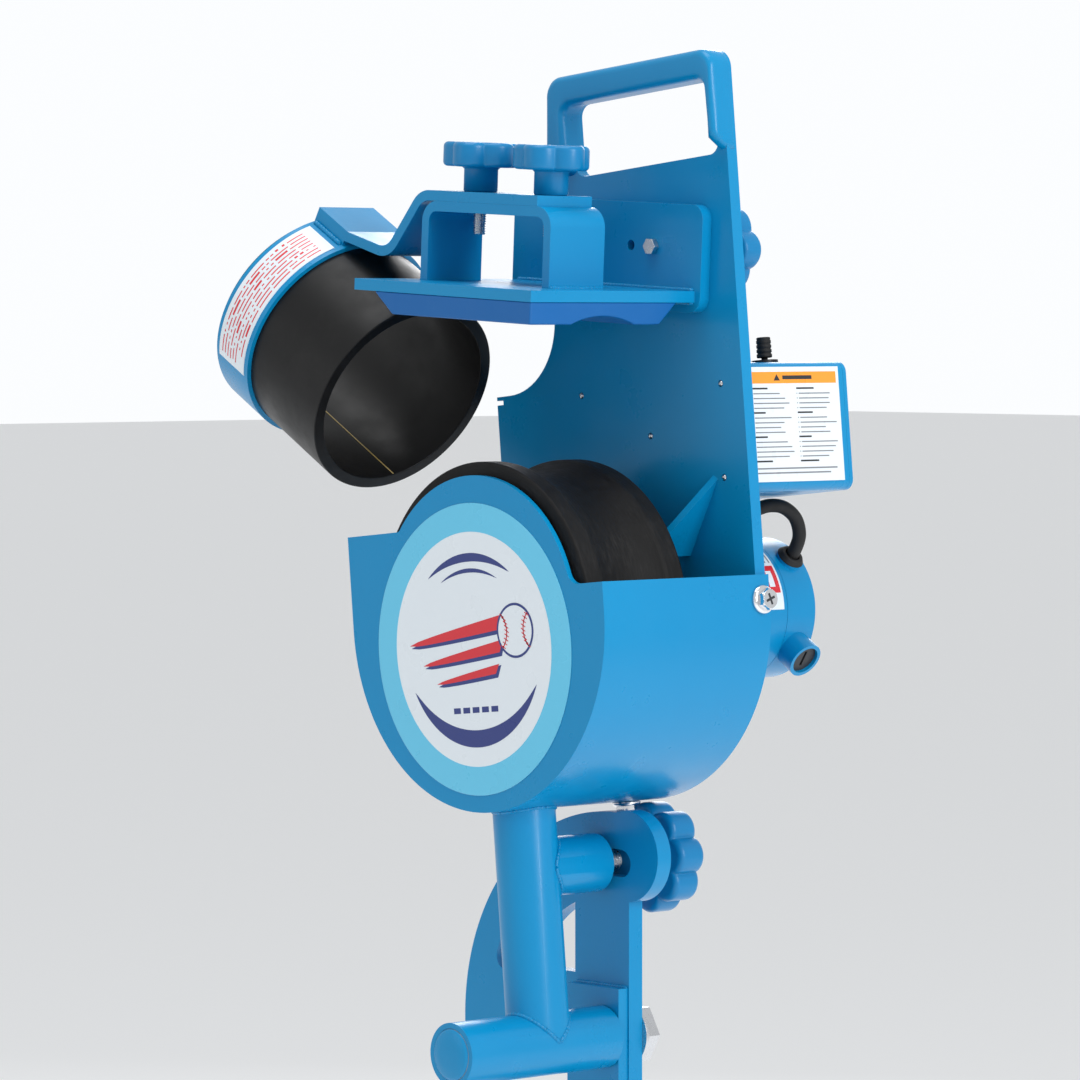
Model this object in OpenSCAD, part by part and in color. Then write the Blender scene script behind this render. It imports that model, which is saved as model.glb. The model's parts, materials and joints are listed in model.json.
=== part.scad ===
// Single-wheel ball pitching machine on a folding tripod.
// X is the throwing direction, Z is up, and the origin is on the floor at the
// middle of the three feet. Most of the machine is drawn in the head's own
// frame: its origin is on the wheel's axis at the front face of the housing,
// Y runs back through the wheel to the motor, and head_place() leans it back.

/* [Stand] */
// Backward lean of the head at rest, in degrees
head_tilt = 5.6; // [3:0.1:9]
// Height of the tilt pivot above the floor
pivot_height = 660; // [600:5:760]
// Drop from the wheel's axis to the tilt pivot
pivot_drop = 221; // [221:1:240]
// Height of the leg hinges above the floor
leg_hinge_height = 330; // [300:5:360]
// Distance from the column to the middle of each foot
leg_reach = 450; // [400:5:500]

/* [Wheel] */
// Outer diameter of the throwing wheel
wheel_d = 166; // [156:1:168]
// Width of the throwing wheel
wheel_w = 69; // [60:1:72]
// Depth of the hollow tread
tread_depth = 7.5; // [4:0.5:9]

/* [Housing] */
// Outer radius of the wheel housing
housing_r = 99; // [98:0.5:102]
// Depth of the housing, front face to back edge
housing_depth = 117; // [115:1:125]
// Wall of the housing
housing_wall = 2.2; // [1.5:0.1:2.4]
// Radius of the raised round part of the front face
dome_r = 76; // [70:1:80]
// Height of the housing wall on the feed side, above the wheel's axis
feed_wall_top = 50.5; // [40:0.5:60]
// Height of the housing wall on the exit side, above the wheel's axis
exit_wall_top = 15; // [8:0.5:20]

/* [Back plate] */
// Thickness of the back plate
plate_t = 7; // [6:0.5:8]
// Top of the carrying handle above the wheel's axis
handle_top = 290; // [280:1:300]
// Distance that the handle's grip stands in front of the plate
grip_proud = 8.5; // [6:0.5:10]

/* [Shoe] */
// Angle of the pressure shoe to the head, in degrees
shoe_angle = 8.5; // [6:0.5:10]
// Length of the shoe plate along the throw
shoe_length = 140; // [130:1:150]
// Thickness of the shoe block under the plate
shoe_block_t = 11.5; // [8:0.5:14]

/* [Feed chute] */
// Outer diameter of the chute tube
chute_od = 114.3; // [110:0.1:118]
// Inner diameter of the chute tube
chute_id = 101.6; // [100:0.1:104]
// Length of the chute tube
chute_length = 95; // [90:1:110]
// Slope of the chute against the head, in degrees
chute_slope = 35.5; // [30:0.5:40]

/* [Motor] */
// Outer radius of the motor body
motor_r = 38; // [36:0.5:42]
// Radius of the motor shaft
shaft_r = 7.5; // [7.5:0.5:8]

/* [Hidden] */
$fn = 72;

// Gap left between parts that only touch
gap = 0.3;

// Depths along Y, in the head's frame
front_t = 3;
wheel_y = 5;
plate_y0 = housing_depth - plate_t;
plate_y1 = housing_depth;
wheel_mid = wheel_y + wheel_w / 2;

// Back plate outline
plate_r = housing_r - housing_wall - gap;
neck_foot = [-45.5, 164];
neck_arc_r = 40;
handle_left = -32.6;
grip_leg = 12;
grip_leg_right = 6.2;
grip_bar = 15.5;
hole_bottom = 235.5;
hole_r = 7;
handle_corner_r = 10;
grip_foot = 237;

// Housing, with its bolts on the exit side, on the feed side and underneath
decal_t = 0.4;
decal_at = [-3, -14];
bolt_angle = [0, 180, 270];
bolt_y = [111.5, 111.5, 97.5];
bolt_lift = [2, 2, 0];

// Pressure shoe, in its own frame: Z = 0 is the underside of the plate
shoe_centre = [2, 169.5];
shoe_plate_t = 6;
shoe_front = -11;
flange_t = 6.5;
flange_half = 74;
flange_low = -5.5;
flange_high = 51;
flange_hole_z = 28;
screw_x = 37;
spare_hole_x = 19.5;
shoe_stud_x = 62;
block_back = 91;

// Chute bracket and arm, in the shoe's frame
bar_t = 5.5;
bar_y0 = 22;
bar_y1 = 60;
bar_mid = (bar_y0 + bar_y1) / 2;
bracket_x0 = -55.5;
bracket_x1 = 46.5;
bracket_top = 48;
bend_r = 11;
stud_front_x = 24.6;
stud_rear_x = -31;
stud_r = 3.5;
arm_z = bracket_top + bar_t / 2;
arm_route = [[35.5, arm_z], [-57, arm_z], [-83, 18.5], [-119, 26.7]];
arm_bend_r = 13;
chute_travel = 4;

// Chute, in its own frame: Z runs up the tube from the exit end
chute_exit = [-94.3, 41, 124.8];
band_t = 2.5;
band_z0 = 62;
band_z1 = 92;
band_r = chute_od / 2 + band_t;

// Top knobs
knob_r = 20.5;
knob_h = 13;
knob_stem_r = 9;
knob_stem_h = 13;

// Motor depths along Y
cap_y1 = 131;
can_y1 = 189.3;
bell_y1 = 214;
brush_y = 199.5;
brush_angle = -38.6;
boss_r = 10;
boss_out = 49;
lead_angle = 40;
lead_y = 201;
bearing_r = 17.5;
rear_journal_r = 4;
rear_bearing_r = 11;
run_gap = 0.05;

// Control box
box_x0 = -12.5;
box_x1 = 87.5;
box_z0 = 58.4;
box_z1 = 126.8;
box_y1 = 193;
box_wall = 2.5;
box_corner = 6;
cover_t = 2.5;
toggle_at = [70, 153];
dial_at = [58, 104];
gland_at = [10, 78];
gland_bore_r = 4.2;

// Motor lead route, from the rear cap's grommet to the control box
lead_r = 3.7;
lead_route = [
    [28, 201, 23.5], [34, 201, 29], [39, 200.5, 37], [40.5, 197, 46], [39.5, 190, 52],
    [38, 181, 53.5], [37, 171, 51.5], [36, 161, 48], [36, 152, 46.5], [36, 145, 48.5],
    [36, 142, 53], [36, 142, 57.5], [36, 142, 62]
];
lead_sides = 10;

// Post and tilt lock, in the head's frame
tube_r = 16.5;
tube_wall = 3;
post_y = 25;
lock_r = 91.5;
lock_z = lock_r - pivot_drop;
stub_end = 72;
pivot_tube_y0 = -35.5;
pivot_tube_y1 = 69.5;
tilt_knob_y = 108;
tilt_bolt_r = 5.9;
tilt_forward = 9.5;
tilt_back = 62;

// Swivel and column, in the column's frame
head_y = -78;
pivot_x = 8;
quadrant_y0 = -1.5;
quadrant_y1 = 8;
quadrant_r = 118;
end_a = 83.4;
slot_half = 7.25;
band_inner_r = 74;
doubler_y0 = -8;
swivel_half = 21;
flange_top = pivot_height - 48;
flange_r = 30;
swivel_flange_t = 8;
washer_t = 2;
stem_r = 18.9;
column_bore_r = 18.98;
column_r = 22.25;
column_top = flange_top - swivel_flange_t - washer_t;
column_bottom = 230;
stem_bottom = 440;
pivot_shaft_r = 9.5;

// Tripod
leg_r = 14.3;
leg_wall = 2.5;
leg_hinge_r = 50;
leg_end_z = 16;
stop_r = 3;
leg_run = leg_reach - leg_hinge_r;
leg_drop = leg_hinge_height - leg_end_z;
leg_length = sqrt(leg_run * leg_run + leg_drop * leg_drop);
leg_angle = atan(leg_drop / leg_run);
leg_turns = [180, 60, -60];
hub_r = 31;
hub_half = 20;
lug_t = 6;
lug_gap = 0.7;
hinge_bolt_r = 5;
foot_r = 26;
frame_shift = leg_reach / 4;

blue = [0.02, 0.58, 0.8];
shoe_blue = [0.0, 0.45, 0.8];
black = [0.06, 0.06, 0.065];
steel = [0.75, 0.76, 0.78];
white = [0.92, 0.93, 0.93];

// ---- Placing ----

module stand_place() {
    translate([frame_shift, 0, 0]) children();
}

module head_place() {
    stand_place() translate([pivot_x, head_y, pivot_height]) rotate([0, -head_tilt, 0])
        translate([0, 0, pivot_drop]) children();
}

module shoe_place() {
    head_place() translate([shoe_centre[0], 0, shoe_centre[1]]) rotate([0, shoe_angle, 0]) children();
}

module chute_place() {
    head_place() translate(chute_exit) rotate([0, chute_slope - 90, 0]) children();
}

// Extrudes an outline drawn in X and Z along Y, from y0 to y1
module along_y(y0, y1) {
    translate([0, y1, 0]) rotate([90, 0, 0]) linear_extrude(y1 - y0) children();
}

module rod_y(r, y0, y1) {
    translate([0, y1, 0]) rotate([90, 0, 0]) cylinder(r = r, h = y1 - y0);
}

module ring_y(r, bore, y0, y1) {
    difference() {
        rod_y(r, y0, y1);
        rod_y(bore, y0 - 1, y1 + 1);
    }
}

// A radial direction in the X-Z plane becomes the local Z axis
module radial(angle) {
    rotate([0, 90 - angle, 0]) children();
}

module box(low, high) {
    translate(low) cube(high - low);
}

// Rectangle from low to high with rounded corners
module soft_rect(low, high, r) {
    translate([low[0] + r, low[1]]) square([high[0] - low[0] - 2 * r, high[1] - low[1]]);
    translate([low[0], low[1] + r]) square([high[0] - low[0], high[1] - low[1] - 2 * r]);
    for (x = [low[0] + r, high[0] - r]) for (z = [low[1] + r, high[1] - r])
        translate([x, z]) circle(r);
}

module hex_head(flats, h) {
    cylinder(r = flats / sqrt(3), h = h, $fn = 6);
}

// Hand knob: a round centre with lobes, chamfered on top
module lobed_head(core_r, lobe_r, lobes, r, h) {
    cylinder(r = core_r, h = h);
    for (i = [0:lobes - 1]) rotate(i * 360 / lobes) translate([r - lobe_r, 0, 0]) {
        cylinder(r = lobe_r, h = h - 2);
        translate([0, 0, h - 2]) cylinder(r1 = lobe_r, r2 = lobe_r - 2, h = 2);
    }
}

// ---- Back plate and handle ----

module plate_outline() {
    c = handle_corner_r;
    arc_centre = [neck_foot[0] - neck_arc_r, neck_foot[1]];
    difference() {
        union() {
            intersection() {
                circle(plate_r);
                translate([-plate_r, -plate_r]) square([2 * plate_r, plate_r]);
            }
            translate([-plate_r, 0]) square([2 * plate_r, arc_centre[1] - neck_arc_r]);
            polygon([
                [arc_centre[0], 100], [plate_r, 100], [plate_r, handle_top - c],
                [plate_r - c, handle_top], [handle_left + c, handle_top],
                [handle_left, handle_top - c], neck_foot, [arc_centre[0], arc_centre[1]]
            ]);
            translate([plate_r - c, handle_top - c]) circle(c);
            translate([handle_left + c, handle_top - c]) circle(c);
        }
        translate(arc_centre) circle(neck_arc_r);
        translate([-plate_r - 1, 119.5]) square([6, 2.5]);
        soft_rect(
            [handle_left + grip_leg, hole_bottom], [plate_r - grip_leg_right, handle_top - grip_bar], hole_r
        );
    }
}

module main_plate() {
    color(blue) head_place() {
        difference() {
            along_y(plate_y0, plate_y1) plate_outline();
            rod_y(20.2, plate_y0 - 1, plate_y1 + 1);
            for (i = [0, 1]) housing_bolt_place(i) translate([0, 0, -18]) cylinder(r = 2.55, h = 20);
            for (a = [45:90:315])
                translate([31 * cos(a), 0, 31 * sin(a)]) rod_y(3.2, plate_y0 - 1, plate_y1 + 1);
            for (p = [[-28, 119], [80, 116], [24, 93], [78, 67]])
                translate([p[0], 0, p[1]]) rod_y(1.8, plate_y0 - 1, plate_y1 + 1);
            for (p = [[-28, 119], [80, 116], [24, 93], [78, 67]])
                translate([p[0], 0, p[1]]) rod_y(1.8, plate_y0 - 1, plate_y1 + 1);
            translate([shoe_centre[0], 0, shoe_centre[1]]) rotate([0, shoe_angle, 0])
                translate([0, 0, flange_hole_z]) {
                    for (x = [-screw_x, screw_x]) translate([x, 0, 0]) rod_y(2.7, plate_y0 - 1, plate_y1 + 1);
                    translate([shoe_stud_x, 0, 0]) rod_y(4.3, plate_y0 - 1, plate_y1 + 1);
                }
        }
        // Lugs that take the housing bolts
        for (i = [0:2]) housing_bolt_place(i) difference() {
            box([-7, -6.5, -16], [7, plate_y0 - bolt_y[i] + 0.5, -3]);
            translate([0, 0, -20]) cylinder(r = 2.55, h = 20);
        }
        // Web that stiffens the plate behind the wheel
        translate([47, 0, 29]) rotate([0, -57.5, 0]) translate([0, plate_y0, -2])
            linear_extrude(4) polygon([[0, 1], [46, 1], [46, 0], [0, -30]]);
    }
}

module grip_outline() {
    difference() {
        soft_rect([handle_left, grip_foot - 20], [plate_r, handle_top], handle_corner_r);
        soft_rect(
            [handle_left + grip_leg, grip_foot - 40],
            [plate_r - grip_leg_right, handle_top - grip_bar], hole_r
        );
        translate([handle_left - 10, grip_foot - 60]) square([200, 60]);
    }
}

module handle_grip() {
    color(blue) head_place() along_y(plate_y0 - grip_proud, plate_y0) grip_outline();
}

// ---- Wheel housing ----

// U-shaped outline, open at the top, with its two side heights
module u_outline(r, left_top, right_top) {
    intersection() {
        circle(r);
        translate([-r, -r]) square([2 * r, r]);
    }
    translate([-r, 0]) square([r, left_top]);
    square([r, right_top]);
}

// Place of one housing bolt on the housing's skin, Z outward
module housing_bolt_place(i) {
    translate([0, bolt_y[i], bolt_lift[i]]) radial(bolt_angle[i]) translate([0, 0, housing_r]) children();
}

module wheel_housing() {
    inner = housing_r - housing_wall;
    color(blue) head_place() difference() {
        union() {
            along_y(0, front_t) {
                u_outline(housing_r, feed_wall_top, exit_wall_top);
                circle(dome_r);
            }
            along_y(front_t, housing_depth) difference() {
                u_outline(housing_r, feed_wall_top, exit_wall_top);
                u_outline(inner, feed_wall_top + 50, feed_wall_top + 50);
            }
        }
        for (i = [0:2]) housing_bolt_place(i) translate([0, 0, -10]) cylinder(r = 3.3, h = 20);
    }
}

module housing_bolts() {
    color(steel) head_place() for (i = [0:2]) housing_bolt_place(i) translate([0, 0, 0.05]) {
        cylinder(r = 7.6, h = 1.4);
        translate([0, 0, 1.4]) hex_head(10, 5);
        translate([0, 0, -15]) cylinder(r = 2.5, h = 15);
    }
}

module front_decal() {
    color(white) head_place() translate([decal_at[0], 0, decal_at[1]]) rod_y(dome_r, -decal_t, 0);
}

// ---- Pressure shoe ----

module shoe_bracket() {
    half = shoe_length / 2;
    color(blue) shoe_place() difference() {
        union() {
            box([-half, shoe_front, 0], [half, plate_y0 - flange_t + 0.5, shoe_plate_t]);
            along_y(plate_y0 - flange_t, plate_y0)
                soft_rect([-flange_half, flange_low], [flange_half, flange_high], 8);
        }
        for (x = [-screw_x, -spare_hole_x, spare_hole_x, screw_x])
            translate([x, 0, flange_hole_z]) rod_y(2.8, plate_y0 - flange_t - 1, plate_y0 + 1);
    }
}

module shoe_block() {
    half = shoe_length / 2;
    trough_r = 58;
    trough_half = 22;
    trough_z = -shoe_block_t - sqrt(trough_r * trough_r - trough_half * trough_half);
    color(shoe_blue) shoe_place() difference() {
        translate([-half + 16, 0, 0]) rotate([90, 0, 90]) linear_extrude(2 * half - 16)
            polygon([
                [shoe_front, 0], [block_back, 0],
                [block_back - 12, -shoe_block_t], [shoe_front, -shoe_block_t]
            ]);
        translate([-half - 1, wheel_mid, trough_z]) rotate([0, 90, 0])
            cylinder(r = trough_r, h = 2 * half + 2, $fn = 96);
        // Lead-in slope on the feed side
        along_y(shoe_front - 1, block_back + 1)
            polygon([
                [-half, 1], [-half + 16, 0], [-half + 31, -shoe_block_t], [-half + 31, -20], [-half, -20]
            ]);
    }
}

module bracket_screws() {
    color(steel) shoe_place() for (x = [-screw_x, screw_x]) translate([x, 0, flange_hole_z]) {
        translate([0, plate_y0 - flange_t, 0]) rotate([90, 0, 0]) hex_head(8, 3.5);
        rod_y(2.5, plate_y0 - flange_t, plate_y1 + 6);
        difference() {
            translate([0, plate_y1 + 4.2, 0]) rotate([90, 0, 0]) hex_head(8, 4);
            rod_y(2.5, plate_y1 - 1, plate_y1 + 6);
        }
    }
}

module chute_bracket() {
    color(blue) shoe_place() difference() {
        along_y(bar_y0, bar_y1) difference() {
            union() {
                soft_rect([bracket_x0, shoe_plate_t + 10], [bracket_x1, bracket_top], bend_r);
                translate([bracket_x0, shoe_plate_t]) square([bracket_x1 - bracket_x0, 25]);
            }
            soft_rect([bracket_x0 + bar_t, -20], [bracket_x1 - bar_t, bracket_top - bar_t], bend_r - bar_t);
        }
        for (x = [stud_rear_x, stud_front_x])
            translate([x, bar_mid, bracket_top - 10]) cylinder(r = stud_r + 0.08, h = 20);
    }
}

// ---- Feed chute ----

function unit(v) = v / norm(v);

// Points along a route whose corners are rounded to radius r
function rounded_route(p, r) = concat(
    [p[0]],
    [for (i = [1:len(p) - 2])
        let (a = unit(p[i - 1] - p[i]), b = unit(p[i + 1] - p[i]))
        let (half = acos(a * b) / 2, back = r / tan(half))
        let (centre = p[i] + unit(a + b) * r / sin(half))
        let (from = p[i] + a * back - centre, to = p[i] + b * back - centre)
        for (k = [0:8]) centre + r * unit(from * (8 - k) + to * k)],
    [p[len(p) - 1]]
);

// Outline of a flat strip of thickness t that follows a route
function strip(p, t) =
    let (n = [for (i = [0:len(p) - 1])
        let (d = unit(p[min(i + 1, len(p) - 1)] - p[max(i - 1, 0)])) [-d[1], d[0]]])
    concat([for (i = [0:len(p) - 1]) p[i] + n[i] * t / 2], [for (i = [len(p) - 1:-1:0]) p[i] - n[i] * t / 2]);

module chute_arm() {
    color(blue) difference() {
        union() {
            shoe_place() along_y(bar_y0, bar_y1) polygon(strip(rounded_route(arm_route, arm_bend_r), bar_t));
            chute_place() {
                translate([0, 0, band_z0]) cylinder(r = band_r, h = band_z1 - band_z0, $fn = 120);
                box([45, -19, band_z0 + 3], [band_r + bar_t, 19, band_z1]);
            }
        }
        chute_place() translate([0, 0, -1]) cylinder(r = chute_od / 2, h = chute_length + 20, $fn = 120);
        shoe_place() for (x = [stud_rear_x, stud_front_x]) translate([x, bar_mid, bracket_top - 1])
            linear_extrude(bar_t + 2) {
                square([2 * chute_travel, 2 * stud_r + 1], center = true);
                for (side = [-1, 1]) translate([side * chute_travel, 0]) circle(stud_r + 0.5);
            }
    }
}

module chute_tube() {
    color(black) chute_place() difference() {
        cylinder(r = chute_od / 2, h = chute_length, $fn = 120);
        translate([0, 0, -1]) cylinder(r = chute_id / 2, h = chute_length + 2, $fn = 120);
    }
}

module chute_decal() {
    color(white) chute_place() intersection() {
        translate([0, 0, band_z0 + 3]) difference() {
            cylinder(r = band_r + decal_t, h = band_z1 - band_z0 - 6, $fn = 120);
            translate([0, 0, -1]) cylinder(r = band_r, h = 40, $fn = 120);
        }
        linear_extrude(120) polygon([[0, 0], [90, -39], [90, -200], [-40, -90]]);
    }
}

module top_knob(x) {
    shoe_place() translate([x, bar_mid, bracket_top + bar_t + 0.05]) difference() {
        union() {
            cylinder(r = knob_stem_r, h = knob_stem_h);
            translate([0, 0, knob_stem_h - 1]) lobed_head(15, 7.3, 5, knob_r, knob_h + 1);
        }
        translate([0, 0, -1]) cylinder(r = stud_r, h = 20);
    }
}

module chute_knob_front() {
    color(blue) top_knob(stud_front_x);
}

module chute_knob_rear() {
    color(blue) top_knob(stud_rear_x);
}

module top_stud(x) {
    shoe_place() translate([x, bar_mid, bracket_top - 17]) cylinder(r = stud_r, h = 17 + bar_t + 0.05 + 19);
}

module chute_stud_front() {
    color(steel) top_stud(stud_front_x);
}

module chute_stud_rear() {
    color(steel) top_stud(stud_rear_x);
}

module shoe_knob() {
    color(blue) shoe_place() translate([shoe_stud_x, plate_y1 + 0.5, flange_hole_z]) rotate([-90, 0, 0])
        difference() {
            union() {
                cylinder(r = 9, h = 8);
                translate([0, 0, 8]) lobed_head(16, 8, 5, 22, 13);
            }
            translate([0, 0, -1]) cylinder(r = 4.08, h = 19);
        }
}

module shoe_stud() {
    color(steel) shoe_place() translate([shoe_stud_x, 0, flange_hole_z])
        rod_y(4, plate_y0 + 0.02, plate_y1 + 17);
}

// ---- Throwing wheel ----

module wheel_tyre() {
    r = wheel_d / 2;
    t = tread_depth;
    sag_r = (pow(wheel_w / 2 - 12, 2) + t * t) / (2 * t);
    color(black) head_place() rotate([-90, 0, 0]) difference() {
        translate([0, 0, wheel_y]) cylinder(r = r, h = wheel_w, $fn = 120);
        translate([0, 0, wheel_y - 1]) cylinder(r = 62, h = wheel_w + 2, $fn = 120);
        rotate_extrude($fn = 120) translate([r - t + sag_r, wheel_mid]) circle(sag_r);
    }
}

module wheel_core() {
    color(steel) head_place() difference() {
        union() {
            ring_y(62, 56, wheel_y + 3, wheel_y + wheel_w - 3);
            rod_y(57, wheel_mid - 4, wheel_mid + 4);
            rod_y(20, 31, 72);
        }
        rod_y(shaft_r + 0.02, 0, 100);
        for (a = [0:60:300]) translate([38 * cos(a), 0, 38 * sin(a)]) rod_y(9, 20, 60);
    }
}

module wheel_nut() {
    color(steel) head_place() difference() {
        union() {
            rod_y(14, 29, 31);
            translate([0, 29, 0]) rotate([90, 0, 0]) hex_head(22, 11);
        }
        rod_y(shaft_r + 0.02, 0, 40);
    }
}

// ---- Motor ----

module motor_shaft() {
    color(steel) head_place() {
        rod_y(shaft_r, 14, 203);
        rod_y(rear_journal_r, 203, 211);
    }
}

// Laminated core with its windings, and the commutator behind it
module armature() {
    color([0.7, 0.42, 0.24]) head_place() {
        difference() {
            union() {
                rod_y(27.5, 142, 182);
                rod_y(23, 135, 188);
            }
            rod_y(shaft_r, 130, 200);
            for (a = [0:30:330]) translate([27.5 * cos(a), 0, 27.5 * sin(a)]) rod_y(1.6, 141, 183);
        }
        difference() {
            rod_y(12, 192, 203);
            rod_y(shaft_r, 180, 210);
            for (a = [0:30:330]) rotate([0, a, 0]) translate([11, 191, -0.3]) cube([3, 13, 0.6]);
        }
    }
}

module motor_front_cap() {
    color(blue) head_place() difference() {
        union() {
            rod_y(20, plate_y0 - 3, plate_y1);
            rod_y(motor_r + 1, plate_y1, cap_y1);
        }
        rod_y(9, 100, 140);
        rod_y(bearing_r, 119.5, cap_y1 + 1);
        for (a = [45:90:315]) translate([31 * cos(a), 0, 31 * sin(a)]) rod_y(2.5, 116, 128);
    }
}

module motor_can() {
    color(blue) head_place() ring_y(motor_r, motor_r - 2.5, cap_y1, can_y1);
}

module motor_rear_cap() {
    color(blue) head_place() difference() {
        union() {
            rod_y(motor_r, can_y1, bell_y1 - 4);
            rotate([-90, 0, 0]) translate([0, 0, bell_y1 - 4])
                cylinder(r1 = motor_r, r2 = motor_r - 4, h = 4);
            for (a = [brush_angle, brush_angle + 180]) translate([0, brush_y, 0]) radial(a)
                translate([0, 0, 20]) cylinder(r = boss_r, h = boss_out - 20);
            translate([0, lead_y, 0]) radial(lead_angle) translate([0, 0, 30]) cylinder(r = 7.5, h = 9.5);
        }
        // Space round the commutator, with the bearing's seat left standing
        difference() {
            rod_y(motor_r - 3.5, can_y1 - 1, bell_y1 - 3);
            rod_y(14, 204.5, bell_y1);
            for (a = [brush_angle, brush_angle + 180])
                translate([0, brush_y, 0]) radial(a) translate([0, 0, 15]) cylinder(r = 7, h = 40);
        }
        rod_y(rear_bearing_r, 200, bell_y1 - 2);
        for (a = [brush_angle, brush_angle + 180]) translate([0, brush_y, 0]) radial(a) {
            box([-3.05, -4.05, 0], [3.05, 4.05, 60]);
            translate([0, 0, 39]) cylinder(r = 8, h = 20);
        }
        translate([0, lead_y, 0]) radial(lead_angle) translate([0, 0, 25]) cylinder(r = 5.5, h = 30);
    }
}

module motor_magnets() {
    color([0.2, 0.2, 0.22]) head_place() intersection() {
        ring_y(motor_r - 2.5, 29, 140, 184);
        for (s = [0, 180]) rotate([0, s, 0])
            along_y(130, 190) polygon([[0, 0], [20, 60], [60, 60], [60, -60], [20, -60]]);
    }
}

module motor_bearings() {
    color(steel) head_place() {
        ring_y(bearing_r, shaft_r + run_gap, 119.5, 130.5);
        ring_y(rear_bearing_r, rear_journal_r + run_gap, 204.5, 211.5);
    }
}

module motor_brushes() {
    color([0.15, 0.15, 0.15]) head_place()
        for (a = [brush_angle, brush_angle + 180]) translate([0, brush_y, 0]) radial(a)
            translate([-3, -4, 12.4]) cube([6, 8, 26]);
}

module brush_caps() {
    color([0.2, 0.2, 0.21]) head_place()
        for (a = [brush_angle, brush_angle + 180]) translate([0, brush_y, 0]) radial(a) difference() {
            translate([0, 0, 39]) cylinder(r = 8, h = 8);
            box([-4.5, -0.8, 45.5], [4.5, 0.8, 50]);
        }
}

module motor_screws() {
    color(steel) head_place()
        for (a = [45:90:315]) translate([31 * cos(a), 0, 31 * sin(a)]) {
            rod_y(2.5, plate_y0, 127);
            translate([0, plate_y0, 0]) rotate([90, 0, 0]) cylinder(r = 4.5, h = 3);
        }
}

module motor_decal() {
    color(white) head_place() intersection() {
        ring_y(motor_r + decal_t, motor_r, 140, can_y1 - 3);
        along_y(130, 200) polygon([[0, 0], [20, 60], [80, 60], [80, -5]]);
    }
}

// Rings of a tube that follows a route; each ring is square to the route
function lead_rings(p, r, n) = [for (i = [0:len(p) - 1])
    let (d = unit(p[min(i + 1, len(p) - 1)] - p[max(i - 1, 0)]))
    let (u = unit(cross(d, [1, 0, 0])), v = cross(d, u))
    for (k = [0:n - 1]) p[i] + r * (u * cos(k * 360 / n) + v * sin(k * 360 / n))];

// Smooth route through the given points, with extra points between them
function smooth_route(p, m) = concat(
    [for (i = [0:len(p) - 2]) for (k = [0:m - 1])
        let (a = p[max(i - 1, 0)], b = p[i], c = p[i + 1], d = p[min(i + 2, len(p) - 1)], t = k / m)
        b + 0.5 * t * ((c - a) + t * (2 * a - 5 * b + 4 * c - d + t * (3 * (b - c) + d - a)))],
    [p[len(p) - 1]]
);

module motor_lead() {
    route = smooth_route(lead_route, 2);
    last = len(route) - 1;
    n = lead_sides;
    color(black) head_place() polyhedron(
        points = lead_rings(route, lead_r, n),
        faces = concat(
            [[for (k = [0:n - 1]) k]],
            [[for (k = [n - 1:-1:0]) last * n + k]],
            [for (i = [0:last - 1]) for (k = [0:n - 1])
                [i * n + k, (i + 1) * n + k, (i + 1) * n + (k + 1) % n]],
            [for (i = [0:last - 1]) for (k = [0:n - 1])
                [i * n + k, (i + 1) * n + (k + 1) % n, i * n + (k + 1) % n]]
        )
    );
}

module lead_grommets() {
    color(black) head_place() {
        translate([0, lead_y, 0]) radial(lead_angle) difference() {
            union() {
                translate([0, 0, 35]) cylinder(r = 5.5, h = 6);
                translate([0, 0, 39.6]) cylinder(r1 = 8, r2 = 6, h = 3);
            }
            translate([0, 0, 30]) cylinder(r = lead_r + 0.45, h = 20);
        }
        translate([36, 142, 0]) difference() {
            union() {
                translate([0, 0, box_z0 - 3]) cylinder(r = 8, h = 3);
                translate([0, 0, box_z0]) cylinder(r = 6, h = box_wall);
            }
            translate([0, 0, box_z0 - 10]) cylinder(r = lead_r + 0.45, h = 20);
        }
    }
}

// ---- Control box ----

module box_outline(inset) {
    soft_rect([box_x0 + inset, box_z0 + inset], [box_x1 - inset, box_z1 - inset], box_corner - inset);
}

module cover_screw_spots() {
    for (x = [box_x0 + 8, box_x1 - 8]) for (z = [box_z0 + 8, box_z1 - 8]) translate([x, 0, z]) children();
}

module control_box() {
    color(blue) head_place() difference() {
        union() {
            difference() {
                along_y(plate_y1, box_y1) box_outline(0);
                along_y(plate_y1 + box_wall, box_y1 + 1) box_outline(box_wall);
            }
            cover_screw_spots() rod_y(5, plate_y1 + 1, box_y1);
        }
        cover_screw_spots() rod_y(1.9, box_y1 - 20, box_y1 + 1);
        translate([36, 142, box_z0 - 1]) cylinder(r = 6, h = box_wall + 2);
        translate([toggle_at[0], toggle_at[1], box_z1 - box_wall - 1]) cylinder(r = 3.8, h = box_wall + 2);
    }
}

module control_cover() {
    color(blue) head_place() difference() {
        along_y(box_y1, box_y1 + cover_t) box_outline(0);
        cover_screw_spots() rod_y(2.1, box_y1 - 1, box_y1 + 5);
        translate([dial_at[0], 0, dial_at[1]]) rod_y(4.2, box_y1 - 1, box_y1 + 5);
        translate([gland_at[0], 0, gland_at[1]]) rod_y(7, box_y1 - 1, box_y1 + 5);
    }
}

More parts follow.
